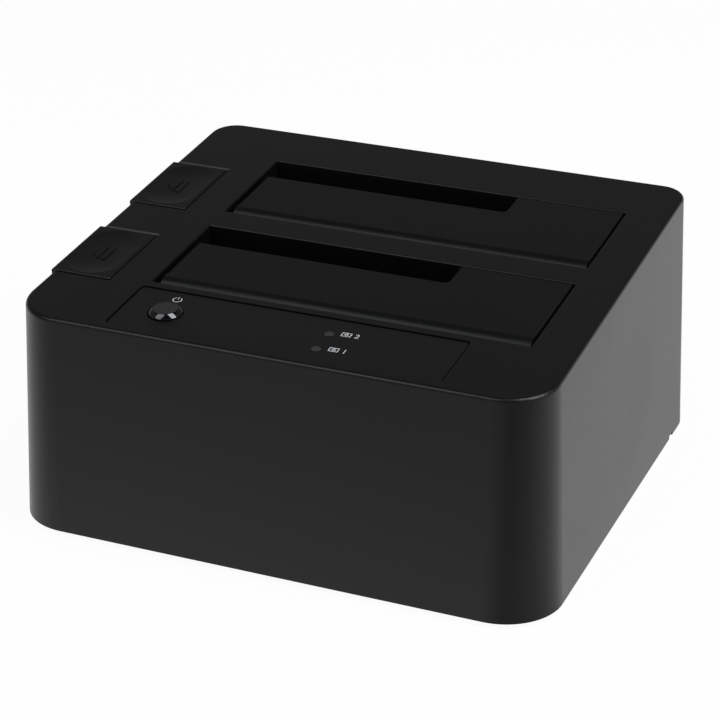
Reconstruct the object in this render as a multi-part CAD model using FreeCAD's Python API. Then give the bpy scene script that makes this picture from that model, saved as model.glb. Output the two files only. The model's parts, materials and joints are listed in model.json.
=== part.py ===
import FreeCAD, Part
import math
import os

# Two-bay drive duplicator: a drafted plastic housing whose deck rises to the rear,
# with two sprung flaps over the drive wells and two eject buttons on its left edge.
# Millimetres. +X is right, +Y rear and +Z up. The origin is on the floor, under the
# middle of the housing. Strips are measured from the bottom edges of the walls.

V = FreeCAD.Vector
os.makedirs("parts", exist_ok=True)

# ---------------------------------------------------------------- driving dimensions
# Drive bays: a well for one 3.5 inch drive, or one 2.5 inch drive through the notch
BAY_LENGTH = 104.0
BAY_DEPTH = 35.0
BAY_PITCH = 44.3          # from one slot to the next, front to rear
NOTCH_LENGTH = 72.9       # from the slot's left end, always open for a 2.5 inch drive
NOTCH_DEPTH = 10.5
NOTCH_CORNER = 1.5
WELL_WALL = 1.8
WELL_FLOOR = 12.1         # height of the well's floor above the table
WELL_FLANGE = 6.4         # tabs beyond both ends that hold the well under the deck
FLANGE_THICK = 1.5
WELL_SCREW_INSET = 7.0    # screws in the tabs, from the slot's front and rear faces
WELL_SCREW = 0.9
WELL_GRIP = 1.5           # depth of these screws in the deck
SCREW_ROOM = 0.3          # round these screws in the tabs
PILOT_SPARE = 0.5         # blind holes go this far past their screws
WELL_SCREW_HEAD = 2.0
HEAD_THICK = 1.2
DRIVE_REST = 1.0          # floor ribs that the drive stands on
REST_WIDTH = 1.6
REST_PLACES = (22.0, 67.8)         # from the slot's left end
REST_RIGHT = 10.0         # the last rib, from the slot's right end

# Housing walls and deck, sized by what stands round the slots
FRONT_STRIP = 29.85       # front wall to the front slot
REAR_STRIP = 23.35        # rear slot to the rear wall
LEFT_STRIP = 29.95        # left wall to the slots
RIGHT_STRIP = 14.95       # slots to the right wall
FOOT_LIFT = 1.5           # the feet hold the walls this far off the floor
FRONT_HEIGHT = 60.0       # wall height at the front edge of the deck
DECK_RISE = 0.0725        # rise of the deck per millimetre towards the rear
WALL_DRAFT = 0.0426       # lean of every wall per millimetre of height
FRONT_CORNER = 15.6       # plan radius of the front corners at the bottom edge
REAR_CORNER = 10.2        # plan radius of the rear corners at the bottom edge
WALL = 2.4
DECK = 2.4
RIM_FILLET = 1.1          # rounding where the deck meets the walls
SLOT_FILLET = 0.4         # rounding of the slots' edges in the deck
NOTCH_BEVEL = 0.35        # bevel of the eject notches' front and rear edges
PRY_NOTCH = 3.0           # gap under the right wall for opening the housing
PRY_INSET = 17.25         # from the rear wall to the gap's far end
PRY_HEIGHT = 0.9

# Flaps: a plate that rolls down over its hinge rod along the front edge
FLAP_THICK = 1.8
FLAP_ROLL = 3.8           # outer radius of the rolled front edge, around the rod
FLAP_GAP_FRONT = 0.3
FLAP_GAP_LEFT = 1.8
FLAP_GAP_RIGHT = 0.8
FLAP_GAP_REAR = 0.5
FLAP_EDGE = 0.3           # bevel of the plate's top edges
ROLL_END_ANGLE = 205.0    # where the roll stops, in degrees past the rear direction
KNUCKLE = 4.0             # width of each hinge knuckle
KNUCKLE_WEB = 1.4         # web behind a knuckle that joins it to the plate
WEB_DROP = 0.6            # the web reaches this far below the plate
RIB_THICK = 1.2
RIB_HEIGHT = 2.4
RIB_PLACES = (21.8, 46.8)          # from the slot's left end
RIB_PAST_NOTCH = 2.0      # the last rib, right of the notch
RIB_INSET = 1.5           # ribs stop this far inside the plate's rear edges
CROSS_INSET = 2.0         # from the notch to the rib that runs along it
ROD_RADIUS = 1.0
RUNNING_FIT = 0.05        # radial clearance of a pivot on its pin
STOP_REACH = 1.4          # length of the stop peg and its lug beside the flap
STOP_THICK = 1.5
STOP_WIDTH = 2.4
LUG_WIDTH = 3.0
STOP_INSET = 3.0          # from the notch forward to the middle of the stop
STOP_DROP = 3.8           # from the plate's underside to the peg's underside
STOP_ROOT = 2.0           # block under the plate that carries the peg
STOP_GAP = 0.05           # from the peg up to the lug, with the flap closed

# Torsion spring that lifts each flap
FLAP_WIRE = 0.4
FLAP_COIL = 1.35          # mean radius
FLAP_TURNS = 3
FLAP_LEG = 7.0
SPRING_PITCH = 0.52
SPRING_SIDE = 1.2         # from the left knuckle to the coil
SEAT_SIDE = 0.6           # from the left knuckle to the block for the fixed leg
SEAT_WIDTH = 4.4
SEAT_TOP = 6.0            # from the rod down to the block
SEAT_HEIGHT = 3.0
TOUCH = 0.01              # between a spring and what it rests on

# Eject buttons: an L-shaped cap over the left edge, with a dished top
BUTTON_INSET = 11.0       # from the slots to the cap's inner edge
BUTTON_AHEAD = 2.6        # the cap starts this far ahead of its slot
BUTTON_LENGTH = 27.2
BUTTON_GAP = 0.45
BUTTON_PROUD_SIDE = 0.9   # the cap stands this far out of the wall at the deck
BUTTON_PROUD_TOP = 0.15
BUTTON_WALL = 2.0
BUTTON_ROOF = 2.6         # thickness of the dished top
BUTTON_SKIRT = 13.0       # from the deck down to the lower edge of the cap
BUTTON_TRAVEL = 4.5
BUTTON_CORNER = 0.8       # rounding of the cap's two upright inner edges
BUTTON_EDGE = 0.45        # rounding of the cap's top edges
BUTTON_DISH = 0.55        # depth of the finger dish, below the cap's top
DISH_MARGIN = 0.9         # rim left round the dish
STEM_SIZE = 5.0
STEM_CLEAR = 0.45         # between the stem's round tip and the lever at rest
STEM_ROOM = 0.4           # round the stem in the tray's floor
POST_BACK = 8.0           # spring post, behind the cap's front edge
POST_RADIUS = 2.0
POST_RISE = 3.0           # the post ends this far above the cap's lower edge
GUIDE_WALL = 1.4

# Return spring under each eject button
EJECT_WIRE = 0.6
EJECT_COIL = 3.3          # mean radius
EJECT_TURNS = 4

# Eject levers: a rocker between the button's stem and the drive
LEVER_ASIDE = 5.2         # from the slots to the pivot
LEVER_RISE = 2.2          # pivot above the well's floor
LEVER_BACK = 17.1         # the lever's middle, behind the slot's front face
LEVER_THICK = 4.0
LEVER_OUTER = 12.0        # arm under the button
LEVER_INNER = 16.0        # arm under the drive
LEVER_ARM = 3.0
LEVER_HUB = 3.2
LEVER_ROOT = 2.8          # half the height of the arms at the pivot
LEVER_TIP = 0.9           # underside of the outer arm's end, below the middle
LEVER_NECK = 1.05         # half the height of the inner arm's end
LEVER_REST = 10.8         # degrees that the outer arm points up at rest
LEVER_SLOT = 7.5          # height of the well's slot above its floor
TOE_LENGTH = 15.0         # cross bar under the drive's edge
TOE_RADIUS = 1.2
TOE_ROOM_LEFT = 3.4       # opening in the well's floor, from the toe's middle
TOE_ROOM_RIGHT = 2.6
PIN_RADIUS = 1.0
PIN_END = 0.3             # the pin stands this far out of the ears
EAR_THICK = 1.6
EAR_GAP = 0.4

# Drive connectors, 7 signal and 15 power contacts each
PLUG_ALONG = 37.8         # middle of the connector, from the slot's left end
PLUG_INSET = 4.1          # middle of the connector, from the slot's rear face
PLUG_LENGTH = 42.0
PLUG_WIDTH = 6.0
PLUG_RISE = 6.9           # top of the connector above the well's floor
PLUG_DEPTH = 6.0          # depth of the two mating slots
PLUG_MOUTH = 2.4          # width of the two mating slots
PLUG_BRIDGE = 2.4         # wall between the two mating slots
PLUG_BEVEL = 0.5
SIGNAL_LENGTH = 11.0
POWER_LENGTH = 21.2
SIGNAL_CONTACTS = 7
POWER_CONTACTS = 15
CONTACT_PITCH = 1.27
CONTACT_WIDTH = 0.7
CONTACT_THICK = 0.3
CONTACT_DROP = 0.8        # contacts end this far below the connector's top

# Control panel on the deck, in front of the slots
INLAY_FRONT_MARGIN = 5.65 # front wall to the panel
INLAY_LEFT_MARGIN = 1.2   # the panel starts this far left of the slots
INLAY_LENGTH = 90.7
INLAY_DEPTH = 21.4
INLAY_THICK = 0.8
INLAY_DROP = 0.25         # the panel lies this far below the deck
INLAY_GAP = 0.4
INLAY_CORNER = 1.5
POWER_ALONG = 12.3        # power button, from the panel's left edge
POWER_BACK = 10.0         # power button, from the panel's front edge
POWER_HOLE = 4.7
POWER_CAP = 4.4           # radius of the cap where it leaves the panel
POWER_TOP = 3.5           # radius of its flat top
POWER_PROUD = 1.35        # the cap's top above the deck
POWER_STEM = 1.5
POWER_FLANGE = 1.2        # the flange behind the deck reaches this far past the cap
FLANGE_PLATE = 1.0
POWER_SHOULDER = 0.15     # the cap's cone starts this far below the deck
PAD_THICK = 0.2
LIGHT_ALONG = 55.9        # lamps, from the panel's left edge
LIGHT_BACKS = (13.5, 5.4) # lamps, from the panel's front edge: rear and front
LIGHT_RADIUS = 1.25
LIGHT_COLLAR = 0.9
COLLAR_THICK = 1.2
LIGHT_PROUD = 0.1
LAMP_GAP = 1.4            # from the board up to the pins
LAMP_LENGTH = 2.0
LAMP_WIDTH = 1.4
LAMP_HEIGHT = 0.9
SWITCH_SIZE = 6.0
SWITCH_HEIGHT = 3.4
SWITCH_FLOOR = 1.2        # body left under the stem's bore
SWITCH_CLEAR = 0.4        # round the stem in the switch's bore
STEM_SEAT = 0.5           # the stem reaches this far into its switch

# Control board, hung on posts under the deck
CONTROL_DROP = 9.0        # from the deck down to the board
CONTROL_LENGTH = 94.0
CONTROL_GAP = 1.35        # from the board to the front wall and to the well behind it
CONTROL_POST = 2.2
CONTROL_POST_INSET = 4.0  # posts, from the board's ends
CONTROL_GRIP = 3.5        # depth of the screws in the posts
SMALL_SCREW = 0.8         # shanks in the posts and standoffs
SMALL_CLEAR = 0.2         # round the shanks in the boards
SMALL_HEAD = 1.9
RIBBON_WIDTH = 8.0
RIBBON_THICK = 0.6
RIBBON_INSET = 7.0        # middle of the ribbon, from the board's right end
RIBBON_SOCKET = 4.0       # height and depth of the two ribbon sockets
RIBBON_END = 1.0          # sockets reach this far past the ribbon's edges
RIBBON_GAP = 0.3          # from the ribbon's top to its upper socket

# Main board, base, feet and screws
BASE_THICK = 2.0
BASE_RIM = 2.0
RIM_THICK = 1.2
VENT_COUNT = 9            # slots in each of two rows
VENT_PITCH = 7.0
VENT_WIDTH = 2.2
VENT_LENGTH = 22.0
VENT_ROW = 22.0           # each row's middle, ahead of and behind the base's middle
BOARD_THICK = 1.6
BOARD_HEIGHT = 6.5        # underside of the main board above the table
BOARD_MARGIN = 3.8        # from the wall's outside at the bottom to the board
BOARD_CORNER_ROOM = 0.8   # between a corner boss and the board
STANDOFF_RADIUS = 2.8
STANDOFF_INSET_X = 22.95
STANDOFF_INSET_Y = 17.25
STANDOFF_GAP = 0.3        # from the base up to the ends of the board's screws
BOSS_INSET = 10.75        # corner bosses, from the walls' bottom edges
BOSS_RADIUS = 3.2
GUSSET_RISE = 4.0         # gussets start this far above the base
SCREW_RADIUS = 1.1
SCREW_HEAD = 2.4
SCREW_HEAD_THICK = 1.5
SCREW_SINK = 1.0          # the heads' seats, above the base's underside
SCREW_GRIP = 10.0
FOOT_RADIUS = 5.0
FOOT_SEAT = 0.5
FOOT_INSET_X = 20.45
FOOT_INSET_Y = 14.25
FIT = 0.2                 # clearance between pieces that are assembled by hand

# Components on the main board, in a row inside the front wall and at the other walls
FRONT_ROW = 15.25         # from the front wall to the row's middle
CHIP_PLACES = (-22.0, 24.0)
CHIP_SIZE = 9.6
CHIP_HEIGHT = 1.2
CAN_PLACES = (-8.0, 0.5, 9.0)
CAN_REAR = 10.25          # two more cans: from the rear wall and from the side walls
CAN_LEFT = 24.45
CAN_RIGHT = 18.45
CAN_RADIUS = 3.2
CAN_HEIGHT = 7.5
COIL_PLACE = -34.0        # one coil in the row, one at the right wall
COIL_RIGHT = 8.45
COIL_BACK = 24.0          # behind the middle of the housing
COIL_SIZE = 7.0
COIL_HEIGHT = 4.0
COIL_CORNER = 1.4

# Rear sockets, all on the main board, and the copy button
SOCKET_PITCH = 22.0
ESATA_X = -7.7
COPY_ASIDE = 24.0         # copy button, left of the eSATA socket
PORT_RECESS = 0.6         # sockets stand this far inside the wall's outer face
PORT_HEIGHT = 15.0        # middle of the round sockets above the table
PORT_GAP = 0.3            # round the jack and the copy button in the wall
JACK_BODY = 9.0
JACK_DEPTH = 14.0
JACK_NECK = 3.0           # length of the round barrel in front of the body
JACK_BARREL = 4.1
JACK_RADIUS = 3.1
JACK_BORE = 10.5
JACK_PIN = 1.05
JACK_PIN_SHORT = 1.0      # the pin ends this far inside the barrel's mouth
USB_WIDTH = 12.0
USB_HEIGHT = 11.2
USB_DEPTH = 16.0
USB_BORE = 11.0
USB_MOUTH = 8.5
USB_TALL = 7.9
USB_CUT = 1.75            # the two cut corners of the mouth
USB_LIP = 1.6             # metal under the mouth
USB_TONGUE = 5.6
USB_TONGUE_TALL = 3.2
USB_TONGUE_LIFT = 2.3     # above the metal under the mouth
ESATA_WIDTH = 14.8
ESATA_HEIGHT = 6.2
ESATA_DEPTH = 14.0
ESATA_BORE = 9.0
ESATA_SHELL = 1.0
ESATA_TONGUE = 9.2
ESATA_TONGUE_TALL = 1.2
TONGUE_SHORT = 1.4        # tongues end this far inside their sockets' mouths
COPY_RADIUS = 2.7
COPY_PROUD = 0.5
COPY_SEAT = 1.6           # wall left outside the button's flange
COPY_FLANGE = 1.2         # the flange reaches this far past the button
COPY_STEM = 1.3
COPY_REACH = 3.6          # from the flange's outside to the end of the stem
COPY_SWITCH = 7.0
COPY_SWITCH_BACK = 2.6    # from the flange's outside to the switch
COPY_SWITCH_DEPTH = 6.0
COPY_BORE = 2.2
EDGE_BREAK = 0.4          # bevel on small turned ends

# ---------------------------------------------------------------- derived values
BASE_WIDTH = LEFT_STRIP + BAY_LENGTH + RIGHT_STRIP
BASE_DEPTH = FRONT_STRIP + BAY_PITCH + BAY_DEPTH + REAR_STRIP
HALF_WIDTH = BASE_WIDTH / 2
HALF_DEPTH = BASE_DEPTH / 2
DECK_FRONT = WALL_DRAFT * FRONT_HEIGHT - HALF_DEPTH
DECK_ANGLE = math.degrees(math.atan(DECK_RISE))
DECK_COS = math.cos(math.radians(DECK_ANGLE))
DECK_SIN = math.sin(math.radians(DECK_ANGLE))
BAY_LEFT = LEFT_STRIP - HALF_WIDTH
BAY_RIGHT = BAY_LEFT + BAY_LENGTH
BAY_FRONT = FRONT_STRIP - HALF_DEPTH
BAYS = {"front": 0.0, "rear": BAY_PITCH}
FLAP_LEFT = BAY_LEFT + FLAP_GAP_LEFT
FLAP_RIGHT = BAY_RIGHT - FLAP_GAP_RIGHT
BUTTON_INNER = BAY_LEFT - BUTTON_INSET
LEVER_PIVOT_X = BAY_LEFT - LEVER_ASIDE
LEVER_PIVOT_Z = WELL_FLOOR + LEVER_RISE
STEM_X = LEVER_PIVOT_X - LEVER_OUTER * math.cos(math.radians(LEVER_REST))
BOARD_TOP = BOARD_HEIGHT + BOARD_THICK
BASE_TOP = FOOT_LIFT + BASE_THICK
PLUG_TOP = WELL_FLOOR + PLUG_RISE
INLAY_LEFT = BAY_LEFT - INLAY_LEFT_MARGIN
INLAY_FRONT = INLAY_FRONT_MARGIN - HALF_DEPTH
INLAY_X = INLAY_LEFT + INLAY_LENGTH / 2
INLAY_Y = INLAY_FRONT + INLAY_DEPTH / 2
POWER_X = INLAY_LEFT + POWER_ALONG
POWER_Y = INLAY_FRONT + POWER_BACK
LIGHT_X = INLAY_LEFT + LIGHT_ALONG
LIGHT_YS = [INLAY_FRONT + back for back in LIGHT_BACKS]
CONTROL_START = DECK_FRONT + WALL + CONTROL_GAP
CONTROL_END = BAY_FRONT - WELL_WALL - CONTROL_GAP
CONTROL_DEPTH = CONTROL_END - CONTROL_START
CONTROL_Y = (CONTROL_START + CONTROL_END) / 2 - CONTROL_DROP * DECK_SIN
RIBBON_X = CONTROL_LENGTH / 2 - RIBBON_INSET
ROW_Y = FRONT_ROW - HALF_DEPTH
USB_X = ESATA_X + SOCKET_PITCH
JACK_X = USB_X + SOCKET_PITCH
COPY_X = ESATA_X - COPY_ASIDE
ABOVE = 90.0              # a height clear of the whole object


def deck_z(y):
    """Height of the deck's surface at a place from front to rear."""
    return FOOT_LIFT + FRONT_HEIGHT + (y - DECK_FRONT) * DECK_RISE


PORT_WALL = HALF_DEPTH - WALL_DRAFT * (PORT_HEIGHT - FOOT_LIFT)
PORT_FACE = PORT_WALL - PORT_RECESS
COPY_BACK = PORT_WALL - COPY_SEAT


# ---------------------------------------------------------------- small helpers
def box(x0, x1, y0, y1, z0, z1):
    return Part.makeBox(x1 - x0, y1 - y0, z1 - z0, V(x0, y0, z0))


def block(x, y, width, depth, z0, z1):
    """An upright block about a middle point."""
    return box(x - width / 2, x + width / 2, y - depth / 2, y + depth / 2, z0, z1)


def rod(start, axis, radius, length):
    return Part.makeCylinder(radius, length, V(*start), V(*axis))


def peg(start, axis, radius, length, sides=8):
    """A many-sided rod, for screws, their holes and other small hidden parts."""
    points = []
    for step in range(sides + 1):
        angle = 2 * math.pi * step / sides
        points.append(V(radius * math.cos(angle), radius * math.sin(angle), 0))
    solid = Part.Face(Part.makePolygon(points)).extrude(V(0, 0, length))
    turn = FreeCAD.Rotation(V(0, 0, 1), V(*axis))
    solid.Placement = FreeCAD.Placement(V(*start), turn)
    return solid


def snug(start, axis, radius, length):
    """A twelve-sided hole whose faces touch a round pin all round."""
    return peg(start, axis, radius / math.cos(math.pi / 12), length, 12)


def rounded_wire(x0, x1, y0, y1, z, corners):
    """A rectangle at one height; corners are its radii, from front left anticlockwise."""
    centres = []
    for (sx, sy), radius in zip(((-1, -1), (1, -1), (1, 1), (-1, 1)), corners):
        cx = x0 + radius if sx < 0 else x1 - radius
        cy = y0 + radius if sy < 0 else y1 - radius
        centres.append((cx, cy, radius))
    arcs = []
    for turn, (cx, cy, radius) in enumerate(centres):
        points = []
        for part in (180, 225, 270):
            angle = math.radians(part + 90 * turn)
            points.append(V(cx + radius * math.cos(angle), cy + radius * math.sin(angle), z))
        arcs.append(points)
    edges = []
    for turn in range(4):
        edges.append(Part.Arc(*arcs[turn]).toShape())
        edges.append(Part.makeLine(arcs[turn][2], arcs[(turn + 1) % 4][0]))
    return Part.Wire(edges)


def rounded_box(x0, x1, y0, y1, z0, z1, radius):
    wire = rounded_wire(x0, x1, y0, y1, z0, (radius,) * 4)
    return Part.Face(wire).extrude(V(0, 0, z1 - z0))


def on_deck(shape, x, y):
    """Move a shape from its own frame, where +Z is the deck's normal, onto the deck."""
    placed = shape.copy()
    placed.rotate(V(0, 0, 0), V(1, 0, 0), DECK_ANGLE)
    placed.translate(V(x, y, deck_z(y)))
    return placed


def below_deck(drop):
    """Everything under a plane parallel to the deck, this far below it."""
    slab = Part.makeBox(400, 400, 200, V(-200, -200, -200 - drop))
    return on_deck(slab, 0, 0)


def walls_to(inset, bottom, top):
    """The housing's drafted outline as a solid, moved inwards by an inset."""
    wires = []
    for z in (bottom, top):
        lean = WALL_DRAFT * (z - FOOT_LIFT) + inset
        half_x = HALF_WIDTH - lean
        half_y = HALF_DEPTH - lean
        front = FRONT_CORNER - lean
        rear = REAR_CORNER - lean
        wires.append(rounded_wire(-half_x, half_x, -half_y, half_y, z, (front, front, rear, rear)))
    return Part.makeLoft(wires, True, True)


def union(shapes):
    first = shapes[0]
    return first.fuse(list(shapes[1:])).removeSplitter()


def helix(radius, wire, pitch, turns, steps=8, sides=4):
    """A coil of wire about +Z from z = 0, lofted through cross-sections."""
    sections = []
    for step in range(turns * steps + 1):
        turn = 2 * math.pi * step / steps
        points = []
        for side in range(sides + 1):
            angle = 2 * math.pi * (side % sides) / sides
            reach = radius + wire / 2 * math.cos(angle)
            points.append(V(reach * math.cos(turn), reach * math.sin(turn),
                            pitch * step / steps + wire / 2 * math.sin(angle)))
        sections.append(Part.makePolygon(points))
    return Part.makeLoft(sections, True, True)


def deck_edges(shape, x0, x1, y0, y1):
    """Edges of a shape that lie on the deck's surface inside a rectangle."""
    found = []
    for edge in shape.Edges:
        points = [vertex.Point for vertex in edge.Vertexes]
        flat = all(abs(p.z - deck_z(p.y)) < 0.01 for p in points)
        inside = all(x0 < p.x < x1 and y0 < p.y < y1 for p in points)
        if flat and inside:
            found.append(edge)
    return found


# ---------------------------------------------------------------- shared places
def corners(inset_x, inset_y):
    """Four places, inwards from the corners of the walls' bottom outline."""
    x = HALF_WIDTH - inset_x
    y = HALF_DEPTH - inset_y
    return [(-x, -y), (x, -y), (-x, y), (x, y)]


def bay_y(bay):
    """Front and rear faces of a bay's slot."""
    front = BAY_FRONT + BAYS[bay]
    return front, front + BAY_DEPTH


def flap_axis(bay):
    """Middle of the hinge rod: its place from front to rear, and its height."""
    tangent = bay_y(bay)[0] + FLAP_GAP_FRONT + FLAP_ROLL
    return tangent + FLAP_ROLL * DECK_SIN, deck_z(tangent) - FLAP_ROLL * DECK_COS


def button_y(bay):
    front = bay_y(bay)[0] - BUTTON_AHEAD
    return front, front + BUTTON_LENGTH


def button_low(bay):
    """Lower edge of a button's cap."""
    front, rear = button_y(bay)
    return deck_z((front + rear) / 2) - BUTTON_SKIRT


def notch_floor(bay):
    """Lower edge of the wall's notch, below the pressed button."""
    return button_low(bay) - BUTTON_TRAVEL - BUTTON_GAP


def lever_y(bay):
    return bay_y(bay)[0] + LEVER_BACK


def well_screw_places(bay):
    front, rear = bay_y(bay)
    aside = WELL_WALL + WELL_FLANGE / 2
    ends = (BAY_LEFT - aside, BAY_RIGHT + aside)
    return [(x, y) for x in ends for y in (front + WELL_SCREW_INSET, rear - WELL_SCREW_INSET)]


BOSSES = corners(BOSS_INSET, BOSS_INSET)
FEET = corners(FOOT_INSET_X, FOOT_INSET_Y)
STANDOFFS = corners(STANDOFF_INSET_X, STANDOFF_INSET_Y)
POST_X = CONTROL_LENGTH / 2 - CONTROL_POST_INSET
POST_Y = CONTROL_DEPTH / 2 - CONTROL_POST
CONTROL_POSTS = [(-POST_X, -POST_Y), (POST_X, -POST_Y), (-POST_X, POST_Y), (POST_X, POST_Y)]


# ---------------------------------------------------------------- housing
def eject_notch(bay):
    """The opening for one eject button, through the deck and the left wall."""
    front, rear = button_y(bay)
    inner = BUTTON_INNER + BUTTON_GAP
    return box(-2 * HALF_WIDTH, inner, front - BUTTON_GAP, rear + BUTTON_GAP,
               notch_floor(bay), ABOVE)


def deck_hole(x, y, radius):
    """A round cut square to the deck, from above it to below its underside."""
    return on_deck(rod((0, 0, -2 * DECK), (0, 0, 1), radius, 4 * DECK), x, y)


def wall_hole(x, radius, start):
    """A round cut through the rear wall, from a depth inside its outer face."""
    return rod((x, PORT_WALL - start, PORT_HEIGHT), (0, 1, 0), radius, 2 * start)


def boss_column(x, y):
    """A screw boss in one corner, with two gussets to the nearest walls."""
    boss = peg((x, y, BASE_TOP), (0, 0, 1), BOSS_RADIUS, ABOVE, 12)
    wall_x = math.copysign(HALF_WIDTH, x)
    wall_y = math.copysign(HALF_DEPTH, y)
    half = RIB_THICK / 2
    web_x = box(min(x, wall_x), max(x, wall_x), y - half, y + half, BASE_TOP + GUSSET_RISE, ABOVE)
    web_y = box(x - half, x + half, min(y, wall_y), max(y, wall_y), BASE_TOP + GUSSET_RISE, ABOVE)
    pilot = peg((x, y, BASE_TOP - 1), (0, 0, 1), SCREW_RADIUS, SCREW_GRIP + 1)
    return union([boss, web_x, web_y]).cut(pilot)


def top_housing():
    outer = walls_to(0, FOOT_LIFT, ABOVE).common(below_deck(0))
    rim = [e for e in outer.Edges
           if all(abs(v.Point.z - deck_z(v.Point.y)) < 0.01 for v in e.Vertexes)]
    outer = outer.makeFillet(RIM_FILLET, rim)
    inner = walls_to(WALL, FOOT_LIFT - 1, ABOVE).common(below_deck(DECK))
    shell = outer.cut(inner)
    for bay in BAYS:
        front, rear = bay_y(bay)
        shell = shell.cut(box(BAY_LEFT, BAY_RIGHT, front, rear, WELL_FLOOR, ABOVE))
        edges = deck_edges(shell, BAY_LEFT - 1, BAY_RIGHT + 1, front - 1, rear + 1)
        shell = shell.makeFillet(SLOT_FILLET, edges)
    for bay in BAYS:
        front, rear = button_y(bay)
        shell = shell.cut(eject_notch(bay))
        edges = deck_edges(shell, -HALF_WIDTH, BUTTON_INNER + 1, front - 1, rear + 1)
        ends = [e for e in edges if e.BoundBox.YLength < BUTTON_GAP]
        shell = shell.makeChamfer(NOTCH_BEVEL, ends)
    seat = rounded_box(-INLAY_LENGTH / 2, INLAY_LENGTH / 2, -INLAY_DEPTH / 2, INLAY_DEPTH / 2,
                       -INLAY_DROP - INLAY_THICK, DECK, INLAY_CORNER)
    shell = shell.cut(on_deck(seat, INLAY_X, INLAY_Y))
    shell = shell.cut(deck_hole(POWER_X, POWER_Y, POWER_HOLE))
    for y in LIGHT_YS:
        shell = shell.cut(deck_hole(LIGHT_X, y, LIGHT_RADIUS + FIT))
    added = [shell]
    for x, y in BOSSES:
        added.append(boss_column(x, y).common(inner))
    # Posts under the panel that carry the control board
    for x, y in CONTROL_POSTS:
        post = peg((x, y, -CONTROL_DROP), (0, 0, 1), CONTROL_POST, CONTROL_DROP - DECK, 12)
        pilot = peg((x, y, -CONTROL_DROP), (0, 0, 1), SMALL_SCREW, CONTROL_GRIP + PILOT_SPARE)
        added.append(on_deck(post.cut(pilot), 0, CONTROL_Y))
    shell = union(added)
    # Rear wall: openings round the sockets, and the copy button's hole and seat
    inside = PORT_WALL - 2 * WALL
    outside = HALF_DEPTH + 1
    cuts = [
        wall_hole(JACK_X, JACK_BARREL + PORT_GAP, 2 * WALL),
        box(USB_X - USB_WIDTH / 2 - FIT, USB_X + USB_WIDTH / 2 + FIT, inside, outside,
            BOARD_TOP - FIT, BOARD_TOP + USB_HEIGHT + FIT),
        box(ESATA_X - ESATA_WIDTH / 2 - FIT, ESATA_X + ESATA_WIDTH / 2 + FIT, inside, outside,
            BOARD_TOP - FIT, BOARD_TOP + ESATA_HEIGHT + FIT),
        wall_hole(COPY_X, COPY_RADIUS + PORT_GAP, 2 * WALL),
        peg((COPY_X, inside, PORT_HEIGHT), (0, 1, 0), COPY_RADIUS + COPY_FLANGE + 2 * PORT_GAP,
            2 * WALL - COPY_SEAT, 12),
        # Pry notch under the right wall, near the rear corner
        box(HALF_WIDTH - WALL - 1, HALF_WIDTH + 1, HALF_DEPTH - PRY_INSET - PRY_NOTCH,
            HALF_DEPTH - PRY_INSET, 0, FOOT_LIFT + PRY_HEIGHT),
    ]
    # Blind holes for the screws that hold the wells
    for bay in BAYS:
        for x, y in well_screw_places(bay):
            hole = peg((0, 0, -DECK - 1), (0, 0, 1), WELL_SCREW, WELL_GRIP + 1 + PILOT_SPARE / 2)
            cuts.append(on_deck(hole, x, y))
    return shell.cut(Part.Compound(cuts))


def base_plate():
    plate = walls_to(WALL + FIT, FOOT_LIFT, BASE_TOP)
    rim = walls_to(WALL + FIT, BASE_TOP, BASE_TOP + BASE_RIM)
    rim = rim.cut(walls_to(WALL + FIT + RIM_THICK, BASE_TOP - 1, BASE_TOP + BASE_RIM + 1))
    pieces = [plate, rim]
    for x, y in STANDOFFS:
        pieces.append(peg((x, y, BASE_TOP), (0, 0, 1), STANDOFF_RADIUS, BOARD_HEIGHT - BASE_TOP, 12))
    plate = union(pieces)
    cuts = []
    for x, y in BOSSES:
        cuts.append(peg((x, y, 0), (0, 0, 1), SCREW_RADIUS + FIT, BASE_TOP + 1))
        cuts.append(peg((x, y, 0), (0, 0, 1), SCREW_HEAD + FIT, FOOT_LIFT + SCREW_SINK, 12))
        cuts.append(peg((x, y, BASE_TOP), (0, 0, 1), BOSS_RADIUS + FIT, 2 * BASE_RIM, 12))
    for x, y in FEET:
        cuts.append(peg((x, y, 0), (0, 0, 1), FOOT_RADIUS + FIT, FOOT_LIFT + FOOT_SEAT, 16))
    for x, y in STANDOFFS:
        cuts.append(peg((x, y, BASE_TOP), (0, 0, 1), SMALL_SCREW, BOARD_HEIGHT))
    for y in (-VENT_ROW, VENT_ROW):
        for step in range(VENT_COUNT):
            x = (step - (VENT_COUNT - 1) / 2) * VENT_PITCH
            cuts.append(block(x, y, VENT_WIDTH, VENT_LENGTH, 0, BASE_TOP + 1))
    return plate.cut(Part.Compound(cuts))


def base_screws():
    """Each head lies in a pocket, and its shank goes up into a corner boss."""
    screws = []
    seat = FOOT_LIFT + SCREW_SINK
    for x, y in BOSSES:
        head = peg((x, y, seat - SCREW_HEAD_THICK), (0, 0, 1), SCREW_HEAD, SCREW_HEAD_THICK)
        shank = peg((x, y, seat), (0, 0, 1), SCREW_RADIUS, SCREW_GRIP)
        screws.append(union([head, shank]))
    return Part.Compound(screws)


def rubber_feet():
    feet = [peg((x, y, 0), (0, 0, 1), FOOT_RADIUS, FOOT_LIFT + FOOT_SEAT, 16) for x, y in FEET]
    return Part.Compound(feet)


# ---------------------------------------------------------------- control panel
def control_inlay():
    half_x = INLAY_LENGTH / 2 - INLAY_GAP
    half_y = INLAY_DEPTH / 2 - INLAY_GAP
    plate = rounded_box(-half_x, half_x, -half_y, half_y, -INLAY_DROP - INLAY_THICK,
                        -INLAY_DROP, INLAY_CORNER - INLAY_GAP)
    plate = on_deck(plate, INLAY_X, INLAY_Y).cut(deck_hole(POWER_X, POWER_Y, POWER_HOLE))
    for y in LIGHT_YS:
        plate = plate.cut(deck_hole(LIGHT_X, y, LIGHT_RADIUS + RUNNING_FIT))
    return plate


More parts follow.
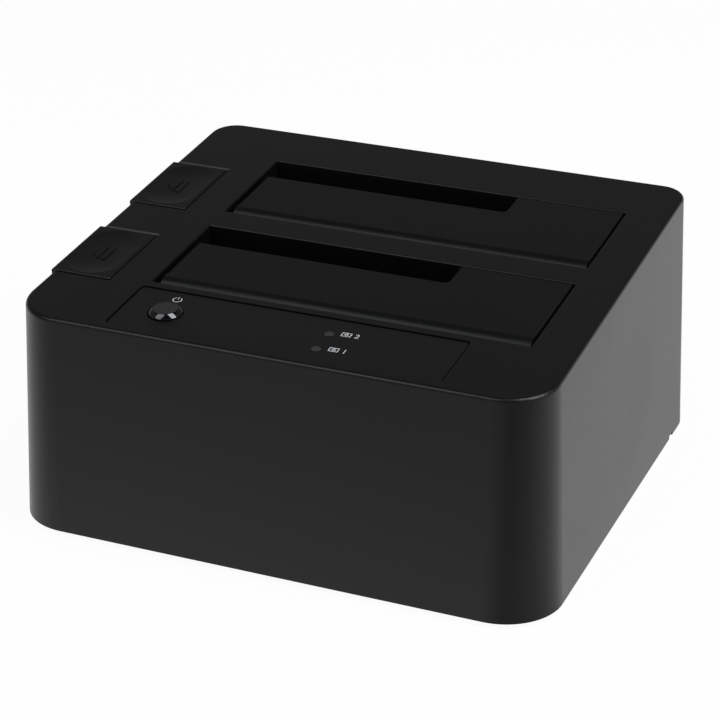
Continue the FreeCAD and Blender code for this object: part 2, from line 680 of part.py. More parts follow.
def power_button():
    """A turned cap with a cone round its flat top, a flange behind the deck, a stem."""
    top = POWER_PROUD - PAD_THICK
    profile = [V(0, 0, top), V(POWER_TOP, 0, top), V(POWER_CAP, 0, -POWER_SHOULDER),
               V(POWER_CAP, 0, -DECK), V(0, 0, -DECK), V(0, 0, top)]
    cap = Part.Face(Part.makePolygon(profile)).revolve(V(0, 0, 0), V(0, 0, 1), 360)
    low = -DECK - FLANGE_PLATE
    flange = peg((0, 0, low), (0, 0, 1), POWER_CAP + POWER_FLANGE, FLANGE_PLATE, 12)
    end = SWITCH_HEIGHT - CONTROL_DROP - STEM_SEAT
    stem = peg((0, 0, end), (0, 0, 1), POWER_STEM, low - end)
    return on_deck(union([cap, flange, stem]), POWER_X, POWER_Y)


def power_button_pad():
    disc = rod((0, 0, POWER_PROUD - PAD_THICK), (0, 0, 1), POWER_TOP, PAD_THICK)
    return on_deck(disc, POWER_X, POWER_Y)


def power_switch():
    body = block(0, 0, SWITCH_SIZE, SWITCH_SIZE, -CONTROL_DROP, SWITCH_HEIGHT - CONTROL_DROP)
    side = 2 * (POWER_STEM + SWITCH_CLEAR)
    bore = block(0, 0, side, side, SWITCH_FLOOR - CONTROL_DROP, 0)
    return on_deck(body.cut(bore), POWER_X, POWER_Y)


def light_pipe(y):
    """A clear pin with a collar behind the panel, over its lamp."""
    pin = rod((0, 0, -DECK), (0, 0, 1), LIGHT_RADIUS, DECK - INLAY_DROP + LIGHT_PROUD)
    low = -DECK - COLLAR_THICK
    collar = peg((0, 0, low), (0, 0, 1), LIGHT_RADIUS + LIGHT_COLLAR, COLLAR_THICK, 12)
    end = LAMP_GAP - CONTROL_DROP
    guide = peg((0, 0, end), (0, 0, 1), LIGHT_RADIUS, low - end)
    return on_deck(union([pin, collar, guide]), LIGHT_X, y)


def status_lamps():
    lamp = block(0, 0, LAMP_LENGTH, LAMP_WIDTH, -CONTROL_DROP, LAMP_HEIGHT - CONTROL_DROP)
    return Part.Compound([on_deck(lamp, LIGHT_X, y) for y in LIGHT_YS])


def control_board():
    """The board fills the room between the front wall and the front well."""
    board = block(0, 0, CONTROL_LENGTH, CONTROL_DEPTH, -CONTROL_DROP - BOARD_THICK, -CONTROL_DROP)
    holes = [peg((x, y, -2 * CONTROL_DROP), (0, 0, 1), SMALL_SCREW + SMALL_CLEAR, CONTROL_DROP * 2)
             for x, y in CONTROL_POSTS]
    return on_deck(board.cut(Part.Compound(holes)), 0, CONTROL_Y)


def control_screws():
    screws = []
    under = -CONTROL_DROP - BOARD_THICK
    for x, y in CONTROL_POSTS:
        head = peg((x, y, under - HEAD_THICK), (0, 0, 1), SMALL_HEAD, HEAD_THICK)
        shank = peg((x, y, under), (0, 0, 1), SMALL_SCREW, BOARD_THICK + CONTROL_GRIP)
        screws.append(on_deck(head.fuse(shank), 0, CONTROL_Y))
    return Part.Compound(screws)


# ---------------------------------------------------------------- drive wells
def stop_lug(bay):
    """The lug that the flap's peg comes up against, in the hinge's frame."""
    low = STOP_LEVEL + STOP_THICK + STOP_GAP
    lug = block(BAY_LEFT, STOP_BACK, 2 * STOP_REACH, LUG_WIDTH, low, low + STOP_THICK)
    return flap_place(lug, bay).common(box(BAY_LEFT - WELL_WALL / 2, BAY_RIGHT, -HALF_DEPTH,
                                           HALF_DEPTH, 0, ABOVE))


def lever_ear(bay, side):
    """One of the two ears outside the well's left wall that hold the lever's pin."""
    face = lever_y(bay) + side * (LEVER_THICK / 2 + EAR_GAP)
    near = min(face, face + side * EAR_THICK)
    wall = BAY_LEFT - WELL_WALL
    low = box(LEVER_PIVOT_X - LEVER_HUB, wall, near, near + EAR_THICK,
              WELL_FLOOR - WELL_WALL, LEVER_PIVOT_Z)
    top = rod((LEVER_PIVOT_X, near, LEVER_PIVOT_Z), (0, 1, 0), LEVER_HUB, EAR_THICK)
    brace = box(LEVER_PIVOT_X, wall, near, near + EAR_THICK, LEVER_PIVOT_Z,
                LEVER_PIVOT_Z + LEVER_HUB)
    return union([low, top, brace])


def drive_well(bay):
    """An open box that guides the drive, hung under the deck by its tabs."""
    front, rear = bay_y(bay)
    bottom = WELL_FLOOR - WELL_WALL
    x0 = BAY_LEFT - WELL_WALL
    x1 = BAY_RIGHT + WELL_WALL
    y0 = front - WELL_WALL
    y1 = rear + WELL_WALL
    body = box(x0, x1, y0, y1, bottom, ABOVE)
    tabs = box(x0 - WELL_FLANGE, x1 + WELL_FLANGE, y0, y1, bottom, ABOVE)
    tabs = tabs.cut(below_deck(DECK + FLANGE_THICK))
    outside = union([body, tabs]).common(below_deck(DECK))
    added = [outside.cut(box(BAY_LEFT, BAY_RIGHT, front, rear, WELL_FLOOR, ABOVE))]
    # Ribs on the floor that the drive stands on
    rests = [BAY_LEFT + place for place in REST_PLACES] + [BAY_RIGHT - REST_RIGHT]
    for x in rests:
        added.append(block(x, (front + rear) / 2, REST_WIDTH, BAY_DEPTH, WELL_FLOOR,
                           WELL_FLOOR + DRIVE_REST))
    # Block in front of the flap's spring, for its fixed leg
    axis_y, axis_z = flap_axis(bay)
    seat = FLAP_LEFT + KNUCKLE + SEAT_SIDE
    leg_face = axis_y - FLAP_COIL - FLAP_WIRE / 2
    seat_top = axis_z - SEAT_TOP
    added.append(box(seat, seat + SEAT_WIDTH, front, leg_face, seat_top - SEAT_HEIGHT, seat_top))
    added.append(stop_lug(bay))
    added.extend([lever_ear(bay, -1), lever_ear(bay, 1)])
    well = union(added)
    # Openings: lever slot, toe, connector, rod ends, pin and screws
    middle = lever_y(bay)
    gap = LEVER_THICK / 2 + EAR_GAP
    toe_x = LEVER_PIVOT_X + LEVER_INNER
    toe_end = middle - LEVER_THICK / 2 + TOE_LENGTH + EAR_GAP
    plug_x = BAY_LEFT + PLUG_ALONG
    plug_y = rear - PLUG_INSET
    cuts = [
        box(x0 - 1, toe_x, middle - gap, middle + gap, bottom - 1, WELL_FLOOR + LEVER_SLOT),
        box(toe_x - TOE_ROOM_LEFT, toe_x + TOE_ROOM_RIGHT, middle - gap, toe_end,
            bottom - 1, WELL_FLOOR + DRIVE_REST / 2),
        block(plug_x, plug_y, PLUG_LENGTH + 2 * FIT, PLUG_WIDTH + 2 * FIT, bottom - 1,
              WELL_FLOOR + 2 * DRIVE_REST),
        snug((x0 - 1, axis_y, axis_z), (1, 0, 0), ROD_RADIUS, BAY_LENGTH + 2 * WELL_WALL + 2),
        snug((LEVER_PIVOT_X, front, LEVER_PIVOT_Z), (0, 1, 0), PIN_RADIUS, BAY_DEPTH),
    ]
    for x, y in well_screw_places(bay):
        hole = peg((0, 0, -DECK - FLANGE_THICK - 1), (0, 0, 1), WELL_SCREW + SCREW_ROOM,
                   FLANGE_THICK + 2)
        cuts.append(on_deck(hole, x, y))
    return well.cut(Part.Compound(cuts))


def well_screws():
    screws = []
    under = -DECK - FLANGE_THICK
    for bay in BAYS:
        for x, y in well_screw_places(bay):
            head = peg((0, 0, under - HEAD_THICK), (0, 0, 1), WELL_SCREW_HEAD, HEAD_THICK)
            shank = peg((0, 0, under), (0, 0, 1), WELL_SCREW, FLANGE_THICK + WELL_GRIP)
            screws.append(on_deck(head.fuse(shank), x, y))
    return Part.Compound(screws)


# ---------------------------------------------------------------- flaps
def flap_place(shape, bay):
    """Move a shape from the hinge's frame, with +X along the rod, to its bay."""
    axis_y, axis_z = flap_axis(bay)
    placed = shape.copy()
    placed.rotate(V(0, 0, 0), V(1, 0, 0), DECK_ANGLE)
    placed.translate(V(0, axis_y, axis_z))
    return placed


FLAP_REAR = (BAY_DEPTH - FLAP_GAP_REAR - FLAP_GAP_FRONT) / DECK_COS - FLAP_ROLL
FLAP_NOTCH = (BAY_DEPTH - NOTCH_DEPTH - FLAP_GAP_FRONT) / DECK_COS - FLAP_ROLL
FLAP_UNDER = FLAP_ROLL - FLAP_THICK
STOP_BACK = FLAP_NOTCH - STOP_INSET
STOP_LEVEL = FLAP_UNDER - STOP_DROP


def ring_point(radius, degrees):
    angle = math.radians(degrees)
    return V(0, radius * math.cos(angle), radius * math.sin(angle))


def flap_section():
    """Plate and rolled edge in one outline, seen along the rod."""
    top_rear = V(0, FLAP_REAR, FLAP_ROLL)
    low_rear = V(0, FLAP_REAR, FLAP_UNDER)
    middle = (90 + ROLL_END_ANGLE) / 2
    outer = [ring_point(FLAP_ROLL, degrees) for degrees in (90, middle, ROLL_END_ANGLE)]
    inner = [ring_point(FLAP_UNDER, degrees) for degrees in (ROLL_END_ANGLE, middle, 90)]
    edges = [
        Part.makeLine(low_rear, top_rear),
        Part.makeLine(top_rear, outer[0]),
        Part.Arc(*outer).toShape(),
        Part.makeLine(outer[2], inner[0]),
        Part.Arc(*inner).toShape(),
        Part.makeLine(inner[2], low_rear),
    ]
    return Part.Face(Part.Wire(edges))


def flap(bay):
    plate = flap_section().extrude(V(FLAP_RIGHT - FLAP_LEFT, 0, 0))
    plate.translate(V(FLAP_LEFT, 0, 0))
    corner = BAY_LEFT + NOTCH_LENGTH
    notch = rounded_box(2 * BAY_LEFT, corner, FLAP_NOTCH, 2 * FLAP_REAR, 0, 2 * FLAP_ROLL,
                        NOTCH_CORNER)
    plate = plate.cut(notch)
    top_edges = [e for e in plate.Edges
                 if all(abs(v.Point.z - FLAP_ROLL) < 0.001 for v in e.Vertexes)
                 and e.BoundBox.YMax > 1.0]
    pieces = [plate.makeChamfer(FLAP_EDGE, top_edges)]
    # Hinge knuckles at both ends
    for x in (FLAP_LEFT, FLAP_RIGHT - KNUCKLE):
        pieces.append(rod((x, 0, 0), (1, 0, 0), FLAP_ROLL, KNUCKLE))
        pieces.append(box(x, x + KNUCKLE, 0, FLAP_ROLL + KNUCKLE_WEB, FLAP_UNDER - WEB_DROP,
                          FLAP_ROLL - FLAP_EDGE))
    # Stiffening ribs below the plate, the last one right of the notch
    rib_low = FLAP_UNDER - RIB_HEIGHT
    rib_top = FLAP_UNDER + FLAP_EDGE
    last = corner + RIB_PAST_NOTCH
    ends = [(BAY_LEFT + place, FLAP_NOTCH) for place in RIB_PLACES] + [(last, FLAP_REAR)]
    for x, end in ends:
        pieces.append(box(x, x + RIB_THICK, FLAP_ROLL + KNUCKLE_WEB, end - RIB_INSET, rib_low,
                          rib_top))
    cross = FLAP_NOTCH - CROSS_INSET
    pieces.append(box(BAY_LEFT + RIB_PLACES[0], last, cross - RIB_THICK, cross, rib_low, rib_top))
    # Stop peg that reaches under the well's lug
    root = FLAP_LEFT + STOP_ROOT
    y0 = STOP_BACK - STOP_WIDTH / 2
    y1 = STOP_BACK + STOP_WIDTH / 2
    pieces.append(box(FLAP_LEFT - STOP_REACH, root, y0, y1, STOP_LEVEL, STOP_LEVEL + STOP_THICK))
    pieces.append(box(FLAP_LEFT, root, y0, y1, STOP_LEVEL, rib_top))
    bore = rod((FLAP_LEFT - 1, 0, 0), (1, 0, 0), ROD_RADIUS + RUNNING_FIT, BAY_LENGTH)
    return flap_place(union(pieces).cut(bore), bay)


def flap_rod(bay):
    axis_y, axis_z = flap_axis(bay)
    return rod((BAY_LEFT - WELL_WALL, axis_y, axis_z), (1, 0, 0), ROD_RADIUS,
               BAY_LENGTH + 2 * WELL_WALL)


def flap_spring(bay):
    """A wound wire on the rod: one leg lifts the flap, the other rests on the well."""
    coil = helix(FLAP_COIL, FLAP_WIRE, SPRING_PITCH, FLAP_TURNS)
    coil.rotate(V(0, 0, 0), V(0, 1, 0), 90)
    start = FLAP_LEFT + KNUCKLE + SPRING_SIDE
    coil.translate(V(start, 0, 0))
    end = start + SPRING_PITCH * FLAP_TURNS
    climb = (FLAP_UNDER - FLAP_COIL - FLAP_WIRE / 2 - TOUCH) / FLAP_LEG
    lift = peg((end, 0, FLAP_COIL), (0, 1, climb), FLAP_WIRE / 2, FLAP_LEG, 6)
    axis_y, axis_z = flap_axis(bay)
    hold = peg((start, axis_y - FLAP_COIL, axis_z), (0, 0, -1), FLAP_WIRE / 2, FLAP_LEG + 1, 6)
    return union([flap_place(coil.fuse(lift), bay), hold])


# ---------------------------------------------------------------- eject buttons
def finger_dish(half_x, half_y):
    """The outside of a long round-ended roller that leaves the dish in a cap's top."""
    radius = (half_x ** 2 + BUTTON_DISH ** 2) / (2 * BUTTON_DISH)
    run = half_y - half_x
    slant = radius / math.sqrt(2)
    edges = [
        Part.makeLine(V(0, -run - radius, 0), V(0, run + radius, 0)),
        Part.Arc(V(0, run + radius, 0), V(slant, run + slant, 0), V(radius, run, 0)).toShape(),
        Part.makeLine(V(radius, run, 0), V(radius, -run, 0)),
        Part.Arc(V(radius, -run, 0), V(slant, -run - slant, 0), V(0, -run - radius, 0)).toShape(),
    ]
    roller = Part.Face(Part.Wire(edges)).revolve(V(0, 0, 0), V(0, 1, 0), 360)
    roller.translate(V(0, 0, BUTTON_PROUD_TOP - BUTTON_DISH + radius))
    return roller


def eject_button(bay):
    front, rear = button_y(bay)
    middle = (front + rear) / 2
    left = WALL_DRAFT * (deck_z(middle) - FOOT_LIFT) - HALF_WIDTH - BUTTON_PROUD_SIDE
    low = button_low(bay)
    cap = box(left, BUTTON_INNER, front, rear, low, ABOVE)
    inner = [e for e in cap.Edges if all(abs(v.Point.x - BUTTON_INNER) < 0.01 for v in e.Vertexes)]
    uprights = [e for e in inner if e.BoundBox.ZLength > BUTTON_SKIRT]
    cap = cap.makeFillet(BUTTON_CORNER, uprights).common(below_deck(-BUTTON_PROUD_TOP))
    rims = [e for e in cap.Edges if all(v.Point.z > deck_z(v.Point.y) for v in e.Vertexes)]
    cap = cap.makeFillet(BUTTON_EDGE, rims)
    # Hollow from below: side skirts and the top stay
    hollow = box(left + BUTTON_WALL, BUTTON_INNER - BUTTON_WALL, front + BUTTON_WALL,
                 rear - BUTTON_WALL, low - 1, ABOVE).common(below_deck(BUTTON_ROOF))
    half_x = (BUTTON_INNER - left) / 2
    dish = finger_dish(half_x - DISH_MARGIN, BUTTON_LENGTH / 2 - DISH_MARGIN)
    cap = cap.cut(hollow).cut(on_deck(dish, left + half_x, middle))
    # Stem down to the lever, and a post for the return spring
    stem_y = lever_y(bay)
    tip_z = stem_tip_z()
    shaft = block(STEM_X, stem_y, STEM_SIZE, LEVER_THICK, tip_z, ABOVE)
    tip = rod((STEM_X, stem_y - LEVER_THICK / 2, tip_z), (0, 1, 0), STEM_SIZE / 2, LEVER_THICK)
    post = peg((STEM_X, front + POST_BACK, low + POST_RISE), (0, 0, 1), POST_RADIUS, ABOVE, 12)
    reach = below_deck(BUTTON_WALL)
    return union([cap, union([shaft, tip]).common(reach), post.common(reach)])


def button_guide(bay):
    """A tray behind the wall's notch that closes it and seats the return spring."""
    front, rear = button_y(bay)
    floor = notch_floor(bay)
    inner = BUTTON_INNER + BUTTON_GAP
    y0 = front - BUTTON_GAP
    y1 = rear + BUTTON_GAP
    tray = box(-HALF_WIDTH, inner + GUIDE_WALL, y0 - GUIDE_WALL, y1 + GUIDE_WALL,
               floor - GUIDE_WALL, ABOVE)
    tray = tray.cut(box(-HALF_WIDTH - 1, inner, y0, y1, floor, ABOVE + 1))
    tray = tray.common(walls_to(WALL, FOOT_LIFT, ABOVE)).common(below_deck(DECK))
    hole = block(STEM_X, lever_y(bay), STEM_SIZE + 2 * STEM_ROOM, LEVER_THICK + 2 * STEM_ROOM,
                 floor - 2 * GUIDE_WALL, floor + 1)
    return tray.cut(hole)


def eject_spring(bay):
    """Open coils round the post, from the tray's floor up to the cap."""
    seat = notch_floor(bay) + EJECT_WIRE / 2 + TOUCH
    y = button_y(bay)[0] + POST_BACK
    ceiling = deck_z(y) - BUTTON_ROOF / DECK_COS - EJECT_WIRE / 2 - TOUCH
    coil = helix(EJECT_COIL, EJECT_WIRE, (ceiling - seat) / EJECT_TURNS, EJECT_TURNS)
    coil.translate(V(STEM_X, y, seat))
    return coil


def arm_half(distance):
    """Half the height of the lever's outer arm, at a distance from its pivot."""
    slope = (LEVER_ARM / 2 - LEVER_ROOT) / (LEVER_OUTER + LEVER_ARM / 2)
    return LEVER_ROOT + slope * distance


def stem_tip_z():
    """Middle of the stem's round tip, clear of the sloping arm under it."""
    lean = math.radians(LEVER_REST) - math.atan2(arm_half(0) - arm_half(1), 1)
    above = (arm_half(LEVER_OUTER) + STEM_SIZE / 2 + STEM_CLEAR) / math.cos(lean)
    return LEVER_PIVOT_Z + LEVER_OUTER * math.sin(math.radians(LEVER_REST)) + above


def eject_lever(bay):
    """A rocker: tapered arms on a hub, with a toe under the drive's edge."""
    end = -LEVER_OUTER - LEVER_ARM / 2
    outline = [V(end, 0, -LEVER_TIP), V(end, 0, LEVER_ARM / 2), V(0, 0, LEVER_ROOT),
               V(LEVER_INNER, 0, LEVER_NECK), V(LEVER_INNER, 0, -LEVER_NECK),
               V(0, 0, -LEVER_ROOT), V(end, 0, -LEVER_TIP)]
    arm = Part.Face(Part.makePolygon(outline)).extrude(V(0, LEVER_THICK, 0))
    hub = rod((0, 0, 0), (0, 1, 0), LEVER_HUB, LEVER_THICK)
    toe = peg((LEVER_INNER, 0, 0), (0, 1, 0), TOE_RADIUS, TOE_LENGTH, 12)
    bore = rod((0, -1, 0), (0, 1, 0), PIN_RADIUS + RUNNING_FIT, LEVER_THICK + 2)
    lever = union([arm, hub, toe]).cut(bore)
    lever.rotate(V(0, 0, 0), V(0, 1, 0), LEVER_REST)
    lever.translate(V(LEVER_PIVOT_X, lever_y(bay) - LEVER_THICK / 2, LEVER_PIVOT_Z))
    return lever


def lever_pin(bay):
    reach = LEVER_THICK / 2 + EAR_GAP + EAR_THICK + PIN_END
    return rod((LEVER_PIVOT_X, lever_y(bay) - reach, LEVER_PIVOT_Z), (0, 1, 0), PIN_RADIUS,
               2 * reach)


# ---------------------------------------------------------------- drive connectors
def plug_place(bay):
    return BAY_LEFT + PLUG_ALONG, bay_y(bay)[1] - PLUG_INSET


def plug_slots(bay):
    """The two mating slots of a drive connector, as boxes."""
    x, y = plug_place(bay)
    start = x - (SIGNAL_LENGTH + PLUG_BRIDGE + POWER_LENGTH) / 2
    bridge = start + SIGNAL_LENGTH
    spans = ((start, bridge), (bridge + PLUG_BRIDGE, bridge + PLUG_BRIDGE + POWER_LENGTH))
    return [box(a, b, y - PLUG_MOUTH / 2, y + PLUG_MOUTH / 2, PLUG_TOP - PLUG_DEPTH, PLUG_TOP + 1)
            for a, b in spans]


def sata_connector(bay):
    x, y = plug_place(bay)
    body = block(x, y, PLUG_LENGTH, PLUG_WIDTH, BOARD_TOP, PLUG_TOP)
    rims = [e for e in body.Edges if e.BoundBox.ZMin > PLUG_TOP - 0.01]
    return body.makeChamfer(PLUG_BEVEL, rims).cut(Part.Compound(plug_slots(bay)))


def sata_contacts(bay):
    """Sprung contacts along the rear face of both mating slots."""
    blades = []
    for slot, count in zip(plug_slots(bay), (SIGNAL_CONTACTS, POWER_CONTACTS)):
        room = slot.BoundBox
        for step in range(count):
            x = room.Center.x + (step - (count - 1) / 2) * CONTACT_PITCH
            blades.append(box(x - CONTACT_WIDTH / 2, x + CONTACT_WIDTH / 2,
                              room.YMax - CONTACT_THICK, room.YMax,
                              room.ZMin, PLUG_TOP - CONTACT_DROP))
    return Part.Compound(blades)


# ---------------------------------------------------------------- main board
def main_board():
    """The board stops short of the four corner bosses."""
    side = 2 * (HALF_WIDTH - BOARD_MARGIN)
    depth = 2 * (HALF_DEPTH - BOARD_MARGIN)
    board = block(0, 0, side, depth, BOARD_HEIGHT, BOARD_TOP)
    room = 2 * (BOSS_INSET + BOSS_RADIUS + BOARD_CORNER_ROOM)
    cuts = [block(math.copysign(HALF_WIDTH, x), math.copysign(HALF_DEPTH, y), room, room,
                  0, BOARD_TOP + 1) for x, y in BOSSES]
    for x, y in STANDOFFS:
        cuts.append(peg((x, y, 0), (0, 0, 1), SMALL_SCREW + SMALL_CLEAR, 2 * BOARD_TOP))
    return board.cut(Part.Compound(cuts))


def board_screws():
    screws = []
    low = BASE_TOP + STANDOFF_GAP
    for x, y in STANDOFFS:
        head = peg((x, y, BOARD_TOP), (0, 0, 1), SMALL_HEAD, HEAD_THICK)
        shank = peg((x, y, low), (0, 0, 1), SMALL_SCREW, BOARD_TOP - low)
        screws.append(head.fuse(shank))
    return Part.Compound(screws)


def controller_chips():
    return Part.Compound([block(x, ROW_Y, CHIP_SIZE, CHIP_SIZE, BOARD_TOP, BOARD_TOP + CHIP_HEIGHT)
                          for x in CHIP_PLACES])


def capacitors():
    rear = HALF_DEPTH - CAN_REAR
    places = [(x, ROW_Y) for x in CAN_PLACES]
    places += [(CAN_LEFT - HALF_WIDTH, rear), (HALF_WIDTH - CAN_RIGHT, rear)]
    return Part.Compound([peg((x, y, BOARD_TOP), (0, 0, 1), CAN_RADIUS, CAN_HEIGHT, 16)
                          for x, y in places])


def inductors():
    coils = []
    for x, y in ((COIL_PLACE, ROW_Y), (HALF_WIDTH - COIL_RIGHT, COIL_BACK)):
        coil = block(x, y, COIL_SIZE, COIL_SIZE, BOARD_TOP, BOARD_TOP + COIL_HEIGHT)
        upright = [e for e in coil.Edges if e.BoundBox.ZLength > COIL_HEIGHT / 2]
        coils.append(coil.makeChamfer(COIL_CORNER, upright))
    return Part.Compound(coils)


def ribbon_cable():
    """Flat cable from the control board down to the main board."""
    drop = CONTROL_DROP + BOARD_THICK + RIBBON_SOCKET + RIBBON_GAP
    return block(RIBBON_X, CONTROL_Y, RIBBON_WIDTH, RIBBON_THICK, BOARD_TOP + RIBBON_SOCKET,
                 deck_z(CONTROL_Y) - drop)


def ribbon_sockets():
    long = RIBBON_WIDTH + 2 * RIBBON_END
    low = block(RIBBON_X, CONTROL_Y, long, RIBBON_SOCKET, BOARD_TOP, BOARD_TOP + RIBBON_SOCKET)
    under = -CONTROL_DROP - BOARD_THICK
    high = block(0, 0, long, RIBBON_SOCKET, under - RIBBON_SOCKET, under)
    return Part.Compound([low, on_deck(high, RIBBON_X, CONTROL_Y)])


# ---------------------------------------------------------------- rear sockets
def dc_jack():
    top = PORT_HEIGHT + JACK_BODY / 2
    body = block(JACK_X, PORT_FACE - (JACK_DEPTH + JACK_NECK) / 2, JACK_BODY,
                 JACK_DEPTH - JACK_NECK, BOARD_TOP, top)
    barrel = rod((JACK_X, PORT_FACE - JACK_NECK - 1, PORT_HEIGHT), (0, 1, 0), JACK_BARREL,
                 JACK_NECK + 1)
    bore = rod((JACK_X, PORT_FACE - JACK_BORE, PORT_HEIGHT), (0, 1, 0), JACK_RADIUS,
               JACK_BORE + 1)
    return union([body, barrel]).cut(bore)


def dc_jack_pin():
    length = JACK_BORE - JACK_PIN_SHORT
    pin = rod((JACK_X, PORT_FACE - JACK_BORE, PORT_HEIGHT), (0, 1, 0), JACK_PIN, length)
    tip = [e for e in pin.Edges if e.BoundBox.YMin > PORT_FACE - JACK_BORE / 2]
    return pin.makeChamfer(EDGE_BREAK, tip)


def usb_socket():
    """Square shell with the two cut upper corners of its plug."""
    shell = block(USB_X, PORT_FACE - USB_DEPTH / 2, USB_WIDTH, USB_DEPTH, BOARD_TOP,
                  BOARD_TOP + USB_HEIGHT)
    half = USB_MOUTH / 2
    top = USB_LIP + USB_TALL
    outline = [V(-half, 0, USB_LIP), V(half, 0, USB_LIP), V(half, 0, top - USB_CUT),
               V(half - USB_CUT, 0, top), V(USB_CUT - half, 0, top),
               V(-half, 0, top - USB_CUT), V(-half, 0, USB_LIP)]
    mouth = Part.Face(Part.makePolygon(outline)).extrude(V(0, USB_BORE + 1, 0))
    mouth.translate(V(USB_X, PORT_FACE - USB_BORE, BOARD_TOP))
    return shell.cut(mouth)


def usb_tongue():
    low = BOARD_TOP + USB_LIP + USB_TONGUE_LIFT
    return box(USB_X - USB_TONGUE / 2, USB_X + USB_TONGUE / 2, PORT_FACE - USB_BORE,
               PORT_FACE - TONGUE_SHORT, low, low + USB_TONGUE_TALL)


def esata_socket():
    shell = block(ESATA_X, PORT_FACE - ESATA_DEPTH / 2, ESATA_WIDTH, ESATA_DEPTH, BOARD_TOP,
                  BOARD_TOP + ESATA_HEIGHT)
    half = ESATA_WIDTH / 2 - ESATA_SHELL
    mouth = box(ESATA_X - half, ESATA_X + half, PORT_FACE - ESATA_BORE, PORT_FACE + 1,
                BOARD_TOP + ESATA_SHELL, BOARD_TOP + ESATA_HEIGHT - ESATA_SHELL)
    return shell.cut(mouth)


def esata_tongue():
    middle = BOARD_TOP + ESATA_HEIGHT / 2
    half = ESATA_TONGUE_TALL / 2
    return box(ESATA_X - ESATA_TONGUE / 2, ESATA_X + ESATA_TONGUE / 2, PORT_FACE - ESATA_BORE,
               PORT_FACE - TONGUE_SHORT, middle - half, middle + half)


def copy_button():
    """A small round button through the rear wall, with a flange inside."""
    cap = rod((COPY_X, COPY_BACK, PORT_HEIGHT), (0, 1, 0), COPY_RADIUS, COPY_SEAT + COPY_PROUD)
    outer_end = [e for e in cap.Edges if e.BoundBox.YMin > COPY_BACK + COPY_SEAT]
    cap = cap.makeChamfer(EDGE_BREAK, outer_end)
    flange = peg((COPY_X, COPY_BACK, PORT_HEIGHT), (0, -1, 0), COPY_RADIUS + COPY_FLANGE,
                 FLANGE_PLATE, 12)
    stem = peg((COPY_X, COPY_BACK, PORT_HEIGHT), (0, -1, 0), COPY_STEM, COPY_REACH)
    return union([cap, flange, stem])


def copy_switch():
    face = COPY_BACK - COPY_SWITCH_BACK
    half = COPY_SWITCH / 2
    body = box(COPY_X - half, COPY_X + half, face - COPY_SWITCH_DEPTH, face, BOARD_TOP,
               PORT_HEIGHT + half)
    room = COPY_STEM + SWITCH_CLEAR
    return body.cut(box(COPY_X - room, COPY_X + room, face - COPY_BORE, face + 1,
                        PORT_HEIGHT - room, PORT_HEIGHT + room))


# ---------------------------------------------------------------- build and export
pieces = {
    "top_housing": top_housing(),
    "base_plate": base_plate(),
    "base_screws": base_screws(),
    "rubber_feet": rubber_feet(),
    "control_inlay": control_inlay(),
    "power_button": power_button(),
    "power_button_pad": power_button_pad(),
    "power_switch": power_switch(),
    "light_pipe_rear": light_pipe(LIGHT_YS[0]),
    "light_pipe_front": light_pipe(LIGHT_YS[1]),
    "status_lamps": status_lamps(),
    "control_board": control_board(),
    "control_screws": control_screws(),
    "well_screws": well_screws(),
    "main_board": main_board(),
    "board_screws": board_screws(),
    "controller_chips": controller_chips(),
    "capacitors": capacitors(),
    "inductors": inductors(),
    "ribbon_cable": ribbon_cable(),
    "ribbon_sockets": ribbon_sockets(),
    "dc_jack": dc_jack(),
    "dc_jack_pin": dc_jack_pin(),
    "usb_socket": usb_socket(),
    "usb_tongue": usb_tongue(),
    "esata_socket": esata_socket(),
    "esata_tongue": esata_tongue(),
    "copy_button": copy_button(),
    "copy_switch": copy_switch(),
}
for bay in BAYS:
    pieces["drive_well_" + bay] = drive_well(bay)
    pieces["flap_" + bay] = flap(bay)
    pieces["flap_rod_" + bay] = flap_rod(bay)
    pieces["flap_spring_" + bay] = flap_spring(bay)
    pieces["eject_button_" + bay] = eject_button(bay)
    pieces["button_guide_" + bay] = button_guide(bay)
    pieces["eject_spring_" + bay] = eject_spring(bay)
    pieces["eject_lever_" + bay] = eject_lever(bay)
    pieces["lever_pin_" + bay] = lever_pin(bay)
    pieces["sata_connector_" + bay] = sata_connector(bay)
    pieces["sata_contacts_" + bay] = sata_contacts(bay)

for name, shape in pieces.items():
    shape.exportStep("parts/" + name + ".step")
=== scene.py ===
import bpy
import json
import math
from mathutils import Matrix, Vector


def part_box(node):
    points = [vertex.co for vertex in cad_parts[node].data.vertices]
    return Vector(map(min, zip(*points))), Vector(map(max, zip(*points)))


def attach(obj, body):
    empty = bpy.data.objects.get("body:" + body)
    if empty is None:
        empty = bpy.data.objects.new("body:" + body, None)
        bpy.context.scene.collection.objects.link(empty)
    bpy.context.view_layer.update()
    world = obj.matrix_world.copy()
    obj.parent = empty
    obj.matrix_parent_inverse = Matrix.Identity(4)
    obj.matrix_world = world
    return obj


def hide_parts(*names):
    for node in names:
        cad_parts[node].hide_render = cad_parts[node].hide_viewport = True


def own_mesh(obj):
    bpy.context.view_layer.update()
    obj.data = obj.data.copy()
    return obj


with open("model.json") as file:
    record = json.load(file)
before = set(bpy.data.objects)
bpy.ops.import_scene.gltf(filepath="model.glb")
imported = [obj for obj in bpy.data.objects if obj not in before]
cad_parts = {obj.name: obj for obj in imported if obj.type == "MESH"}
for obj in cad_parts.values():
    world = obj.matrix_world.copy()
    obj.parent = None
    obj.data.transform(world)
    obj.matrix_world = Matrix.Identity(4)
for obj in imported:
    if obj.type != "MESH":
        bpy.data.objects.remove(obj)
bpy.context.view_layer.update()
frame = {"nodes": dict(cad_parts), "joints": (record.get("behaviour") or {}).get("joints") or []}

# ------------------------------------------------------------------ housing
# The shell is one moulding in black ABS. Its walls lean outwards to the table, and its deck
# rises to the rear. The tool's spark-eroded face leaves a fine satin grain all over it.
BLACK = (0.0030, 0.0031, 0.0033)
GRAIN = 0.00042
